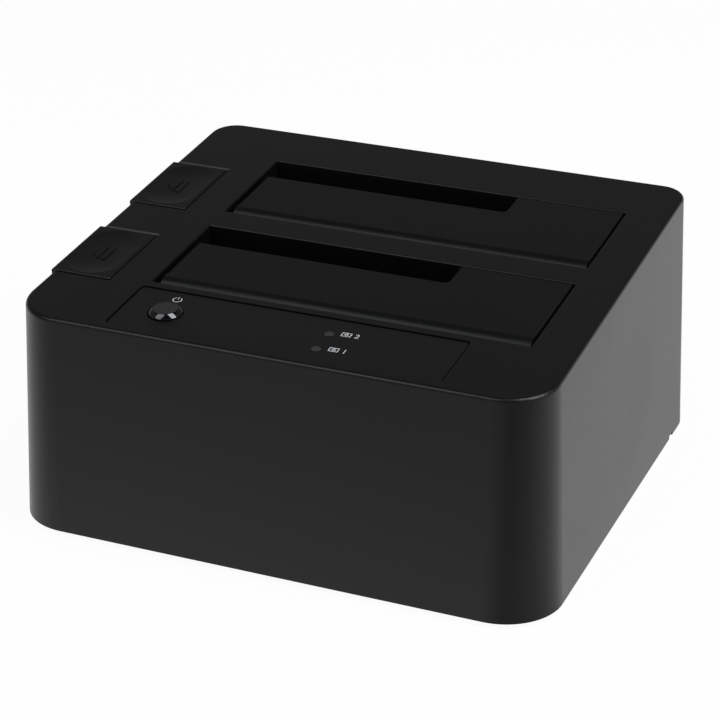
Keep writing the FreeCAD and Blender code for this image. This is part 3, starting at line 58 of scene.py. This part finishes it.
GRAIN_DEPTH = 0.00006
GRAIN_STRENGTH = 0.10
CLOUD = 0.035
CLOUD_SHADE = 0.18


class Wire:
    """One socket of a material. Sums and products of wires add Math nodes."""

    def __init__(self, tree, socket=None):
        self.tree = tree
        self.socket = socket

    def node(self, kind, settings, inputs, output=0):
        """A new node with its settings, then the values or links of its sockets."""
        made = self.tree.nodes.new(kind)
        for name, value in settings.items():
            if name == "stops":
                points = made.color_ramp.elements
                points.remove(points[1])
                for index, (place, level) in enumerate(value):
                    stop = points.new(place) if index else points[0]
                    stop.position = place
                    stop.color = (level, level, level, 1.0)
            else:
                setattr(made, name, value)
        for name, value in inputs.items():
            self.feed(made.inputs[name], value)
        return Wire(self.tree, made.outputs[output])

    def feed(self, socket, value):
        if isinstance(value, Wire):
            self.tree.links.new(value.socket, socket)
        else:
            socket.default_value = value

    def math(self, operation, first, second):
        return self.node("ShaderNodeMath", {"operation": operation}, {0: first, 1: second})

    def __add__(self, other):
        return self.math("ADD", self, other)

    __radd__ = __add__

    def __sub__(self, other):
        return self.math("SUBTRACT", self, other)

    def __rsub__(self, other):
        return self.math("SUBTRACT", other, self)

    def __mul__(self, other):
        return self.math("MULTIPLY", self, other)

    __rmul__ = __mul__

    def noise(self, size, detail=2.0):
        inputs = {"Vector": self, "Scale": 1.0 / size, "Detail": detail}
        return self.node("ShaderNodeTexNoise", {}, inputs)

    def blend(self, first, second):
        """A colour between two colours or wires, as this wire goes from 0 to 1."""
        inputs = {"Factor": self}
        for socket, colour in ((6, first), (7, second)):
            inputs[socket] = colour if isinstance(colour, Wire) else (*colour, 1.0)
        return self.node("ShaderNodeMix", {"data_type": "RGBA"}, inputs, 2)

    def ramp(self, stops):
        """A grey that follows this wire through pairs of place and level."""
        return self.node("ShaderNodeValToRGB", {"stops": stops}, {"Fac": self})

    def part(self, index):
        """One measure of a place: 0 across, 1 along, 2 up."""
        return self.node("ShaderNodeSeparateXYZ", {}, {"Vector": self}, index)


def finish(name, **constants):
    """A new material, its surface shader and the wire of places on the object."""
    material = bpy.data.materials.new(name)
    material.use_nodes = True
    tree = material.node_tree
    surface = tree.nodes["Principled BSDF"]
    for socket, value in constants.items():
        surface.inputs[socket.replace("_", " ")].default_value = value
    place = Wire(tree).node("ShaderNodeTexCoord", {}, {}, "Object")
    return material, surface, place


def scaled(colour, share):
    return tuple(channel * share for channel in colour)


def moulded(name, colour, roughness, shine=0.32):
    """Moulded plastic: faint clouds in its colour, and a fine grain in its surface."""
    material, surface, place = finish(name, Specular_IOR_Level=shine)
    cloud = place.noise(CLOUD)
    speckle = place.noise(GRAIN, 3.0)
    shades = cloud.blend(scaled(colour, 1 - CLOUD_SHADE), scaled(colour, 1 + CLOUD_SHADE))
    place.feed(surface.inputs["Base Color"], shades)
    rough = roughness + (cloud - 0.5) * 0.06 + (speckle - 0.5) * 0.16
    place.feed(surface.inputs["Roughness"], rough)
    relief = {"Strength": GRAIN_STRENGTH, "Distance": GRAIN_DEPTH, "Height": speckle}
    place.feed(surface.inputs["Normal"], place.node("ShaderNodeBump", {}, relief))
    return material


def dress(material, *names):
    """Give CAD nodes this finish."""
    for name in names:
        for place in frame["nodes"][name].material_slots:
            place.material = material


housing_black = moulded("housing_black", BLACK, 0.33)
dress(housing_black, "top_housing")

# ------------------------------------------------------------------ base and feet
# The base is a flat moulding in the same black, screwed up into the housing's corner bosses.
# Four soft rubber feet are pressed into its round seats.
DUST = 0.004
STREAK = 0.0012
base_black = moulded("base_black", BLACK, 0.55)
dress(base_black, "base_plate")


def rubber(name, colour):
    """Soft matt rubber with a little pale dust on it."""
    material, surface, place = finish(name, Specular_IOR_Level=0.25)
    dust = place.noise(DUST, 4.0)
    place.feed(surface.inputs["Base Color"], dust.blend(scaled(colour, 0.8), scaled(colour, 1.7)))
    place.feed(surface.inputs["Roughness"], 0.72 + dust * 0.18)
    return material


dress(rubber("foot_rubber", (0.018, 0.018, 0.018)), "rubber_feet")


def plated(name, colour, roughness, streak=STREAK):
    """Plated or drawn metal with short, faint streaks."""
    material, surface, place = finish(name, Metallic=1.0)
    streaks = place.noise(streak, 4.0)
    place.feed(surface.inputs["Base Color"], streaks.blend(scaled(colour, 0.85), colour))
    place.feed(surface.inputs["Roughness"], roughness + (streaks - 0.5) * 0.2)
    return material


screw_zinc = plated("screw_zinc", (0.42, 0.43, 0.45), 0.38)
dress(screw_zinc, "base_screws", "control_screws", "well_screws", "board_screws")

# ------------------------------------------------------------------ flaps
# Each flap is a thin plate whose front edge rolls down round its steel rod. A wound spring on
# the rod lifts it, and a drive pushed down on it swings it open.
BAYS = ("front", "rear")
flap_black = moulded("flap_black", scaled(BLACK, 1.1), 0.36, shine=0.22)
pin_steel = plated("pin_steel", (0.50, 0.51, 0.53), 0.22)
for bay in BAYS:
    dress(flap_black, "flap_" + bay)
    dress(pin_steel, "flap_rod_" + bay)

# ------------------------------------------------------------------ eject buttons
# A dished cap over the housing's left edge for each bay, with a raised eject sign in the dish.
# Its stem tips a lever that lifts the drive off its connector.
DISH_DEPTH = 0.00055
DISH_MARGIN = 0.0009
PANEL_DROP = 0.00025
CAP_PROUD = 0.00015
SIGN_RAISE = 0.00022
SIGN_SUNK = 0.0003
SIGN_WIDTH = 0.0072
ARROW_LOW = 0.0004
ARROW_TALL = 0.0032
BAR_TALL = 0.0011
BAR_GAP = 0.0009
button_black = moulded("button_black", scaled(BLACK, 1.05), 0.38)
lever_black = moulded("lever_black", (0.02, 0.02, 0.02), 0.5)

joints = {joint["name"]: joint for joint in frame["joints"]}
deck_normal = -Vector(joints["power_press"]["axis"]).normalized()
panel_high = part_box("control_inlay")[1]


def deck_height(y):
    """Height of the deck's surface at a place from front to rear."""
    return panel_high[2] + (PANEL_DROP - (y - panel_high[1]) * deck_normal.y) / deck_normal.z


def on_deck(x, y, lift=0.0):
    """A place on the deck, or lifted off it."""
    return Vector((x, y, deck_height(y))) + deck_normal * lift


def middle(low, high):
    """The middle of a box, from left to right and from front to rear."""
    return (low[0] + high[0]) / 2, (low[1] + high[1]) / 2


def mesh_piece(name, corners, faces, material, body):
    """A piece from its corners and faces, riding on a body."""
    mesh = bpy.data.meshes.new(name)
    mesh.from_pydata([tuple(corner) for corner in corners], [], faces)
    mesh.materials.append(material)
    piece = bpy.data.objects.new(name, mesh)
    bpy.context.collection.objects.link(piece)
    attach(piece, body)
    return piece


def raised_shape(outline, place, foot, top):
    """Corners and faces of a flat sign with sides: place(u, v, lift) puts a corner."""
    count = len(outline)
    corners = [place(u, v, foot) for u, v in outline] + [place(u, v, top) for u, v in outline]
    faces = [tuple(range(count, 2 * count))]
    for index in range(count):
        after = (index + 1) % count
        faces.append((index, after, after + count, index + count))
    return corners, faces


def eject_sign(bay):
    """An arrow and a bar, raised from the dish of a bay's cap."""
    low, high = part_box("eject_button_" + bay)
    middle_x, middle_y = middle(low, high)
    half_x = (high[0] - low[0]) / 2 - DISH_MARGIN
    half_y = (high[1] - low[1]) / 2 - DISH_MARGIN
    radius = (half_x ** 2 + DISH_DEPTH ** 2) / (2 * DISH_DEPTH)

    def in_dish(u, v, lift):
        """A place on the dish: u runs to the rear, v to the left."""
        past = max(abs(u) - (half_y - half_x), 0.0)
        rise = radius - math.sqrt(radius ** 2 - v ** 2 - past ** 2)
        return on_deck(middle_x - v, middle_y + u, CAP_PROUD - DISH_DEPTH + rise + lift)

    half = SIGN_WIDTH / 2
    bar_top = ARROW_LOW - BAR_GAP
    bar_low = bar_top - BAR_TALL
    arrow = [(-half, ARROW_LOW), (half, ARROW_LOW), (0.0, ARROW_LOW + ARROW_TALL)]
    bar = [(-half, bar_low), (half, bar_low), (half, bar_top), (-half, bar_top)]
    for part, outline in (("arrow", arrow), ("bar", bar)):
        corners, faces = raised_shape(outline, in_dish, -SIGN_SUNK, SIGN_RAISE)
        mesh_piece("eject_%s_%s" % (part, bay), corners, faces, button_black,
                   "eject_button_" + bay)


for bay in BAYS:
    eject_sign(bay)
    dress(button_black, "eject_button_" + bay)
    dress(base_black, "button_guide_" + bay)
    dress(lever_black, "eject_lever_" + bay)
    dress(pin_steel, "lever_pin_" + bay)

# ------------------------------------------------------------------ springs
# One wound wire on each flap's rod: its fixed leg rests on the well, and its other leg presses
# up under the plate and turns with it. An open coil under each eject cap lifts it.
FLAP_WIRE = 0.0004
FLAP_COIL = 0.00135
FLAP_WINDS = 2.25
EJECT_WIRE = 0.0006
EJECT_WINDS = 4
WIND_STEPS = 28
spring_steel = plated("spring_steel", (0.36, 0.36, 0.38), 0.32)


def corners_and_faces(shape):
    """Corners and faces of a curve or a text."""
    holder = bpy.data.objects.new(shape.name + "_holder", shape)
    bpy.context.collection.objects.link(holder)
    bpy.context.view_layer.update()
    mesh = bpy.data.meshes.new_from_object(holder)
    bpy.data.objects.remove(holder)
    corners = [tuple(vertex.co) for vertex in mesh.vertices]
    faces = [tuple(face.vertices) for face in mesh.polygons]
    return corners, faces


def smooth_sides(piece):
    """Smooth shading on every face with four corners, so that flat ends stay flat."""
    for face in piece.data.polygons:
        face.use_smooth = len(face.vertices) == 4


def wire_piece(name, route, thick, body):
    """A drawn wire that follows a route, riding on a body."""
    curve = bpy.data.curves.new(name, "CURVE")
    curve.dimensions = "3D"
    curve.bevel_depth = thick / 2
    curve.bevel_resolution = 2
    curve.use_fill_caps = True
    run = curve.splines.new("POLY")
    run.points.add(len(route) - 1)
    for point, place in zip(run.points, route):
        point.co = (*place, 1.0)
    corners, faces = corners_and_faces(curve)
    piece = mesh_piece(name, corners, faces, spring_steel, body)
    smooth_sides(piece)
    return piece


def flap_spring(bay):
    """The coil and its fixed leg stay with the housing, and the other leg rides the flap."""
    low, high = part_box("flap_spring_" + bay)
    _, rod_y, rod_z = joints["flap_%s_hinge" % bay]["pos_m"]
    start_x = low[0] + FLAP_WIRE / 2
    end_x = high[0] - FLAP_WIRE / 2
    steps = round(FLAP_WINDS * WIND_STEPS)
    route = [(start_x, rod_y - FLAP_COIL, low[2])]
    for step in range(steps + 1):
        angle = math.pi - 2 * math.pi * FLAP_WINDS * step / steps
        route.append((start_x + (end_x - start_x) * step / steps,
                      rod_y + FLAP_COIL * math.cos(angle), rod_z + FLAP_COIL * math.sin(angle)))
    coil = wire_piece("flap_coil_" + bay, route, FLAP_WIRE, "housing")
    leg_end = (end_x, high[1], high[2] - FLAP_WIRE / 2)
    leg = wire_piece("flap_leg_" + bay, [route[-1], leg_end], FLAP_WIRE, "flap_" + bay)
    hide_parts("flap_spring_" + bay)
    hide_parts("flap_spring_" + bay)


def eject_spring(bay):
    """An open coil that stands in the cap's guide, riding on the housing."""
    low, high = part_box("eject_spring_" + bay)
    middle_x, middle_y = middle(low, high)
    radius = (high[0] - low[0] - EJECT_WIRE) / 2
    tall = high[2] - low[2] - EJECT_WIRE
    steps = EJECT_WINDS * WIND_STEPS
    route = []
    for step in range(steps + 1):
        angle = 2 * math.pi * EJECT_WINDS * step / steps
        route.append((middle_x + radius * math.cos(angle), middle_y + radius * math.sin(angle),
                      low[2] + EJECT_WIRE / 2 + tall * step / steps))
    coil = wire_piece("eject_coil_" + bay, route, EJECT_WIRE, "housing")
    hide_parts("eject_spring_" + bay)
    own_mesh(coil)


for bay in BAYS:
    flap_spring(bay)
    eject_spring(bay)

# ------------------------------------------------------------------ control panel
# A thin satin panel let into the deck, printed in pale ink: a power sign behind the round button,
# and a drive sign with its number beside each of the two lamps.
INK_LIFT = 0.00002 - PANEL_DROP
INK_LINE = 0.00024
panel_black = moulded("panel_black", scaled(BLACK, 1.25), 0.34)
dress(panel_black, "control_inlay")

INK_WORN = (0.42, 0.42, 0.43)
INK_FULL = (0.62, 0.62, 0.62)
INK_WEAR = 0.0004
ink, ink_surface, ink_place = finish("panel_ink", Roughness=0.5, Specular_IOR_Level=0.3)
wear = ink_place.noise(INK_WEAR)
ink_place.feed(ink_surface.inputs["Base Color"], wear.blend(INK_WORN, INK_FULL))


def ink_arc(radius, start, end, steps=40):
    """Corners and faces of a printed arc in its own plane, by degrees from +X."""
    corners = []
    faces = []
    for step in range(steps + 1):
        angle = math.radians(start + (end - start) * step / steps)
        for reach in (radius - INK_LINE / 2, radius + INK_LINE / 2):
            corners.append((reach * math.cos(angle), reach * math.sin(angle)))
        if step:
            now = 2 * step
            faces.append((now - 2, now - 1, now + 1, now))
    return corners, faces


def print_mark(name, corners, faces, x, y):
    """A printed mark on the panel, at a place from its own corner or middle."""
    placed = [on_deck(x + u, y + v, INK_LIFT) for u, v in corners]
    mesh_piece(name, placed, faces, ink, "housing")


def strip(x0, x1, y0, y1):
    """Corners and faces of a straight printed line."""
    return [(x0, y0), (x1, y0), (x1, y1), (x0, y1)], [(0, 1, 2, 3)]


POWER_SIGN_BACK = 0.0072
POWER_SIGN_LEFT = 0.0003
POWER_RING = 0.00115
RING_GAP = 70
POWER_BAR = (0.0002, 0.0015)
power_x, power_y = middle(*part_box("power_button"))
power_sign = (power_x - POWER_SIGN_LEFT, power_y + POWER_SIGN_BACK)
ring = ink_arc(POWER_RING, 90 + RING_GAP / 2, 450 - RING_GAP / 2)
print_mark("power_sign_ring", *ring, *power_sign)
print_mark("power_sign_bar", *strip(-INK_LINE / 2, INK_LINE / 2, *POWER_BAR), *power_sign)

# The signs beside each lamp: how far each lies to the right of its pipe's middle, and how far
# their middle line lies in front of the pipe's rear side. A digit is a share of its text's size.
DRIVE_RIGHT = 0.0029
DISC_RIGHT = 0.0042
NUMBER_RIGHT = 0.0064
SIGN_FORWARD = 0.00125
SIGN_HEIGHT = 0.0019
DRIVE_LONG = 0.0026
DISC_RADIUS = 0.0004
DIGIT_SHARE = 0.7
for number, node in (("2", "light_pipe_rear"), ("1", "light_pipe_front")):
    low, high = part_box(node)
    pipe_x = middle(low, high)[0]
    sign_y = high[1] - SIGN_FORWARD
    foot_y = sign_y - SIGN_HEIGHT / 2
    text = bpy.data.curves.new("lamp_number_" + number, "FONT")
    text.body = number
    text.size = SIGN_HEIGHT / DIGIT_SHARE
    corners, faces = corners_and_faces(text)
    flat = [(x, y) for x, y, _ in corners]
    print_mark("lamp_number_" + number, flat, faces, pipe_x + NUMBER_RIGHT, foot_y)
    sides = [strip(0, DRIVE_LONG, 0, INK_LINE),
             strip(0, DRIVE_LONG, SIGN_HEIGHT - INK_LINE, SIGN_HEIGHT),
             strip(0, INK_LINE, INK_LINE, SIGN_HEIGHT - INK_LINE),
             strip(DRIVE_LONG - INK_LINE, DRIVE_LONG, INK_LINE, SIGN_HEIGHT - INK_LINE)]
    for index, side in enumerate(sides):
        print_mark("drive_sign_%s_%d" % (number, index), *side, pipe_x + DRIVE_RIGHT, foot_y)
    disc = ink_arc(DISC_RADIUS, 0, 360, 20)
    print_mark("drive_sign_%s_disc" % number, *disc, pipe_x + DISC_RIGHT, sign_y)

# ------------------------------------------------------------------ power button
# A turned cap in glossy black with a faint smear of use: its skirt bulges in to the top, and a
# flange and a stem stand under the panel. A matt round pad is let into its top.
SMEAR = 0.003
CAP_DARK = (0.0015, 0.0015, 0.002)
CAP_SMEARED = (0.004, 0.004, 0.005)
power_cap, cap_surface, cap_place = finish("power_cap", Specular_IOR_Level=0.75)
smear = cap_place.noise(SMEAR, 3.0)
cap_place.feed(cap_surface.inputs["Base Color"], smear.blend(CAP_DARK, CAP_SMEARED))
cap_place.feed(cap_surface.inputs["Roughness"], 0.05 + smear * 0.05)
power_pad = moulded("power_pad", (0.020, 0.020, 0.020), 0.5)

# Radii from the cap's own axis and heights above the deck. The skirt is an arc of SKIRT_BULGE.
SKIRT_FOOT = 0.0044
SKIRT_LOW = -0.00002
SKIRT_EDGE = 0.00006
SKIRT_BULGE = 0.0050
SKIRT_START = 38
SKIRT_END = 56
SKIRT_STEPS = 12
FLANGE_RADIUS = 0.0055
FLANGE_TOP = -0.0024
FLANGE_LOW = -0.0034
STEM_RADIUS = 0.0015
STEM_LOW = -0.0061
PAD_RADIUS = 0.0033
PAD_TOP = 0.00110
PAD_THICK = 0.0002
PAD_STEPS = 4
TURN_SIDES = 96


def turned(name, profile, material, body):
    """A piece turned about the power button's axis, from pairs of radius and height."""
    corners = []
    faces = []
    across = Vector((1.0, 0.0, 0.0))
    along = deck_normal.cross(across)
    centre = on_deck(power_x, power_y)
    for radius, rise in profile:
        for side in range(TURN_SIDES):
            angle = 2 * math.pi * side / TURN_SIDES
            spoke = across * math.cos(angle) + along * math.sin(angle)
            corners.append(centre + spoke * radius + deck_normal * rise)
    for ring in range(len(profile) - 1):
        now = ring * TURN_SIDES
        below = now + TURN_SIDES
        for side in range(TURN_SIDES):
            after = (side + 1) % TURN_SIDES
            faces.append((now + side, below + side, below + after, now + after))
    faces.append(tuple(range(TURN_SIDES)))
    faces.append(tuple(reversed(range(len(corners) - TURN_SIDES, len(corners)))))
    piece = mesh_piece(name, corners, faces, material, body)
    smooth_sides(piece)
    return piece


skirt = []
start = math.radians(SKIRT_START)
for step in range(SKIRT_STEPS + 1):
    lean = math.radians(SKIRT_END + (SKIRT_START - SKIRT_END) * step / SKIRT_STEPS)
    skirt.append((SKIRT_FOOT - SKIRT_BULGE * (math.cos(start) - math.cos(lean)),
                  SKIRT_LOW + SKIRT_BULGE * (math.sin(lean) - math.sin(start))))
under = [(SKIRT_FOOT, SKIRT_LOW - SKIRT_EDGE), (SKIRT_FOOT, FLANGE_TOP),
         (FLANGE_RADIUS, FLANGE_TOP), (FLANGE_RADIUS, FLANGE_LOW),
         (STEM_RADIUS, FLANGE_LOW), (STEM_RADIUS, STEM_LOW)]
cap = turned("power_cap", skirt + under, power_cap, "power_button")
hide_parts("power_button")
rim = []
for step in range(PAD_STEPS + 1):
    lean = math.radians(90 - 90 * step / PAD_STEPS)
    rim.append((PAD_RADIUS - PAD_THICK * (1 - math.cos(lean)),
                PAD_TOP - PAD_THICK * (1 - math.sin(lean))))
pad = turned("power_pad", rim, power_pad, "power_button")
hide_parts("power_button_pad")

# ------------------------------------------------------------------ lamps
# Two small white lamps on the control board, with a clear plastic pipe over each that carries
# its light up to the panel. Unlit, the pipes' ends look dark.
HAZE = 0.0009


def clear_plastic(name, colour):
    """Glossy clear plastic with a slight haze in it."""
    material, surface, place = finish(name, Specular_IOR_Level=0.5)
    haze = place.noise(HAZE)
    place.feed(surface.inputs["Base Color"], haze.blend(scaled(colour, 0.8), colour))
    place.feed(surface.inputs["Roughness"], 0.25 + haze * 0.1)
    return material


dress(clear_plastic("light_pipe", (0.030, 0.030, 0.032)), "light_pipe_rear", "light_pipe_front")
dress(clear_plastic("lamp_white", (0.75, 0.75, 0.70)), "status_lamps")

# ------------------------------------------------------------------ wells and connectors
# Each well is an open box that guides a drive down onto its edge connector. The connector is
# black with two slots, and sprung gold contacts line their rear faces.
# The wells are painted at half the housing's black with little shine: painted shade for the dark
# inside of the bays below the flaps.
well_black = moulded("well_black", scaled(BLACK, 0.5), 0.55, shine=0.15)
socket_black = moulded("socket_black", (0.011, 0.011, 0.011), 0.38)
contact_gold = plated("contact_gold", (0.78, 0.56, 0.24), 0.25, STREAK / 2)
for bay in BAYS:
    dress(well_black, "drive_well_" + bay)
    dress(socket_black, "sata_connector_" + bay)
    dress(contact_gold, "sata_contacts_" + bay)

# ------------------------------------------------------------------ boards
# Glass-fibre boards in green solder mask, with faint copper tracks under it, carry the chips,
# capacitor cans, coils and switches. A flat grey ribbon joins the two boards.
MASK_GREEN = (0.010, 0.085, 0.030)
TRACK_GREEN = (0.03, 0.16, 0.06)
TRACK_PITCH = 0.004
TRACK_SHARE = 0.08
board_green, board_surface, board_place = finish("board_green", Specular_IOR_Level=0.5)
from_track = board_place.node("ShaderNodeTexVoronoi", {"feature": "DISTANCE_TO_EDGE"},
                              {"Vector": board_place, "Scale": 1 / TRACK_PITCH})
copper = from_track.math("LESS_THAN", from_track, TRACK_SHARE)
board_place.feed(board_surface.inputs["Base Color"], copper.blend(MASK_GREEN, TRACK_GREEN))
board_place.feed(board_surface.inputs["Roughness"], 0.34 - copper * 0.08)
dress(board_green, "control_board", "main_board")
dress(socket_black, "ribbon_sockets", "power_switch", "copy_switch", "controller_chips")
dress(plated("capacitor_can", (0.66, 0.67, 0.69), 0.3), "capacitors")
dress(moulded("coil_grey", (0.06, 0.06, 0.06), 0.6), "inductors")
dress(moulded("ribbon_grey", (0.42, 0.42, 0.42), 0.5), "ribbon_cable")

# ------------------------------------------------------------------ rear sockets
# The sockets stand on the main board behind openings in the rear wall: a barrel jack for power,
# a square USB socket and a flat eSATA socket. The copy button is a round black cap beside them.
nickel = plated("socket_nickel", (0.62, 0.61, 0.58), 0.26)
dress(nickel, "usb_socket", "esata_socket")
dress(socket_black, "usb_tongue", "esata_tongue", "dc_jack")
dress(pin_steel, "dc_jack_pin")
dress(button_black, "copy_button")

# ------------------------------------------------------------------ studio
# A white floor in a white surround. In mirror-like rays the surround is bright at the horizon
# and falls into shade above, and the floor is shaded to the front right. Two soft lamps hang
# over the object.
CAMERA_PLACE = (0.22127, -0.53568, 0.30809)
CAMERA_AZIMUTH = 22.54
CAMERA_ELEVATION = 25.40
CAMERA_LENS = 118.15
CAMERA_SENSOR = 36.0
FARTHEST = 50.0
camera_data = bpy.data.cameras.new("camera")
camera_data.lens = CAMERA_LENS
camera_data.sensor_width = CAMERA_SENSOR
camera_data.clip_end = FARTHEST
camera = bpy.data.objects.new("camera", camera_data)
camera.location = CAMERA_PLACE
camera.rotation_euler = (math.radians(90 - CAMERA_ELEVATION), 0.0, math.radians(CAMERA_AZIMUTH))
bpy.context.collection.objects.link(camera)
bpy.context.scene.camera = camera

WHITE = (1.0, 1.0, 1.0)


def ray_kinds(tree):
    """Wires that are 1 for a ray from the camera, and 1 for a mirrored or bent ray."""
    start = Wire(tree)
    straight = start.node("ShaderNodeLightPath", {}, {}, "Is Camera Ray")
    glossy = start.node("ShaderNodeLightPath", {}, {}, "Is Glossy Ray")
    bent = start.node("ShaderNodeLightPath", {}, {}, "Is Transmission Ray")
    return straight, start.math("MINIMUM", glossy + bent, 1.0)


FLOOR_HALF = 6.0
FLOOR_PAINT = (0.82, 0.82, 0.82, 1.0)
floor_mesh = bpy.data.meshes.new("floor")
floor_mesh.from_pydata([(-FLOOR_HALF, -FLOOR_HALF, 0), (FLOOR_HALF, -FLOOR_HALF, 0),
                        (FLOOR_HALF, FLOOR_HALF, 0), (-FLOOR_HALF, FLOOR_HALF, 0)], [], [(0, 1, 2, 3)])
floor = bpy.data.objects.new("floor", floor_mesh)
bpy.context.collection.objects.link(floor)

# The floor's glow in mirror-like rays: turns of a circle from due left by way of the front,
# about the housing's front right corner, and shares of the way from far in front to the middle.
FLOOR_GLOW = 0.95
SHADE_RIGHT = 0.058
SHADE_BACK = 0.050
SHADE_ROUND = ((0.0, 1.0), (0.24, 0.98), (0.30, 0.48), (0.35, 0.52),
               (0.42, 0.68), (0.50, 0.87), (0.57, 1.0))
SHADE_FAR = 0.20
SHADE_AHEAD = ((0.0, 0.60), (0.62, 0.95), (0.75, 1.0))
floor_white = bpy.data.materials.new("floor_white")
floor_white.use_nodes = True
floor_tree = floor_white.node_tree
floor_tree.nodes.remove(floor_tree.nodes["Principled BSDF"])
straight, mirrored = ray_kinds(floor_tree)
spot = Wire(floor_tree).node("ShaderNodeTexCoord", {}, {}, "Object")
across = spot.part(0)
along = spot.part(1)
turn = spot.math("ARCTAN2", along + SHADE_BACK, across - SHADE_RIGHT) * (0.5 / math.pi) + 0.5
ahead = (along + SHADE_FAR) * (1.0 / SHADE_FAR)
dimmed = spot.node("ShaderNodeMix", {"data_type": "RGBA", "blend_type": "MULTIPLY"},
                   {"Factor": 1.0, 6: turn.ramp(SHADE_ROUND), 7: ahead.ramp(SHADE_AHEAD)}, 2)
paint = spot.node("ShaderNodeBsdfDiffuse", {}, {"Color": FLOOR_PAINT})
glow = spot.node("ShaderNodeEmission", {}, {"Color": straight.blend(dimmed, WHITE), "Strength": 1.0})
share = spot.math("MINIMUM", straight + mirrored, 1.0) * FLOOR_GLOW
mixed = spot.node("ShaderNodeMixShader", {}, {0: share, 1: paint, 2: glow})
spot.feed(floor_tree.nodes["Material Output"].inputs["Surface"], mixed)
floor_mesh.materials.append(floor_white)

# The surround: white to the camera, a plain grey for soft light, and in mirror-like rays a glow
# that follows the sine of the height above the horizon.
SKY_FALL = ((0.0, 0.85), (0.04, 0.6), (0.16, 0.22), (0.32, 0.12), (0.60, 0.14), (0.78, 0.01))
SKY_GREY = (0.25, 0.25, 0.26)
world = bpy.data.worlds.new("studio")
bpy.context.scene.world = world
world.use_nodes = True
sky = world.node_tree
straight, mirrored = ray_kinds(sky)
height = Wire(sky).node("ShaderNodeTexCoord", {}, {}, "Generated").part(2)
surround = straight.blend(mirrored.blend(SKY_GREY, height.ramp(SKY_FALL)), WHITE)
surround.feed(sky.nodes["Background"].inputs["Color"], surround)
sky.nodes["Background"].inputs["Strength"].default_value = 1.0

LAMP_AIM = (0.0, 0.0, 0.05)
LAMP_TINT = (0.94, 0.97, 1.0)


def softbox(name, place, width, depth, watts):
    """A rectangular soft lamp that faces the object."""
    lamp = bpy.data.lights.new(name, "AREA")
    lamp.shape = "RECTANGLE"
    lamp.size = width
    lamp.size_y = depth
    lamp.energy = watts
    lamp.color = LAMP_TINT
    holder = bpy.data.objects.new(name, lamp)
    holder.location = place
    holder.rotation_euler = (Vector(LAMP_AIM) - Vector(place)).to_track_quat("-Z", "Y").to_euler()
    bpy.context.collection.objects.link(holder)


softbox("over_right", (0.75, -0.10, 1.00), width=0.55, depth=1.2, watts=14.5)
softbox("over_left", (-0.48, -0.60, 1.08), width=0.70, depth=0.85, watts=4.6)

bpy.context.scene.view_settings.view_transform = "Standard"
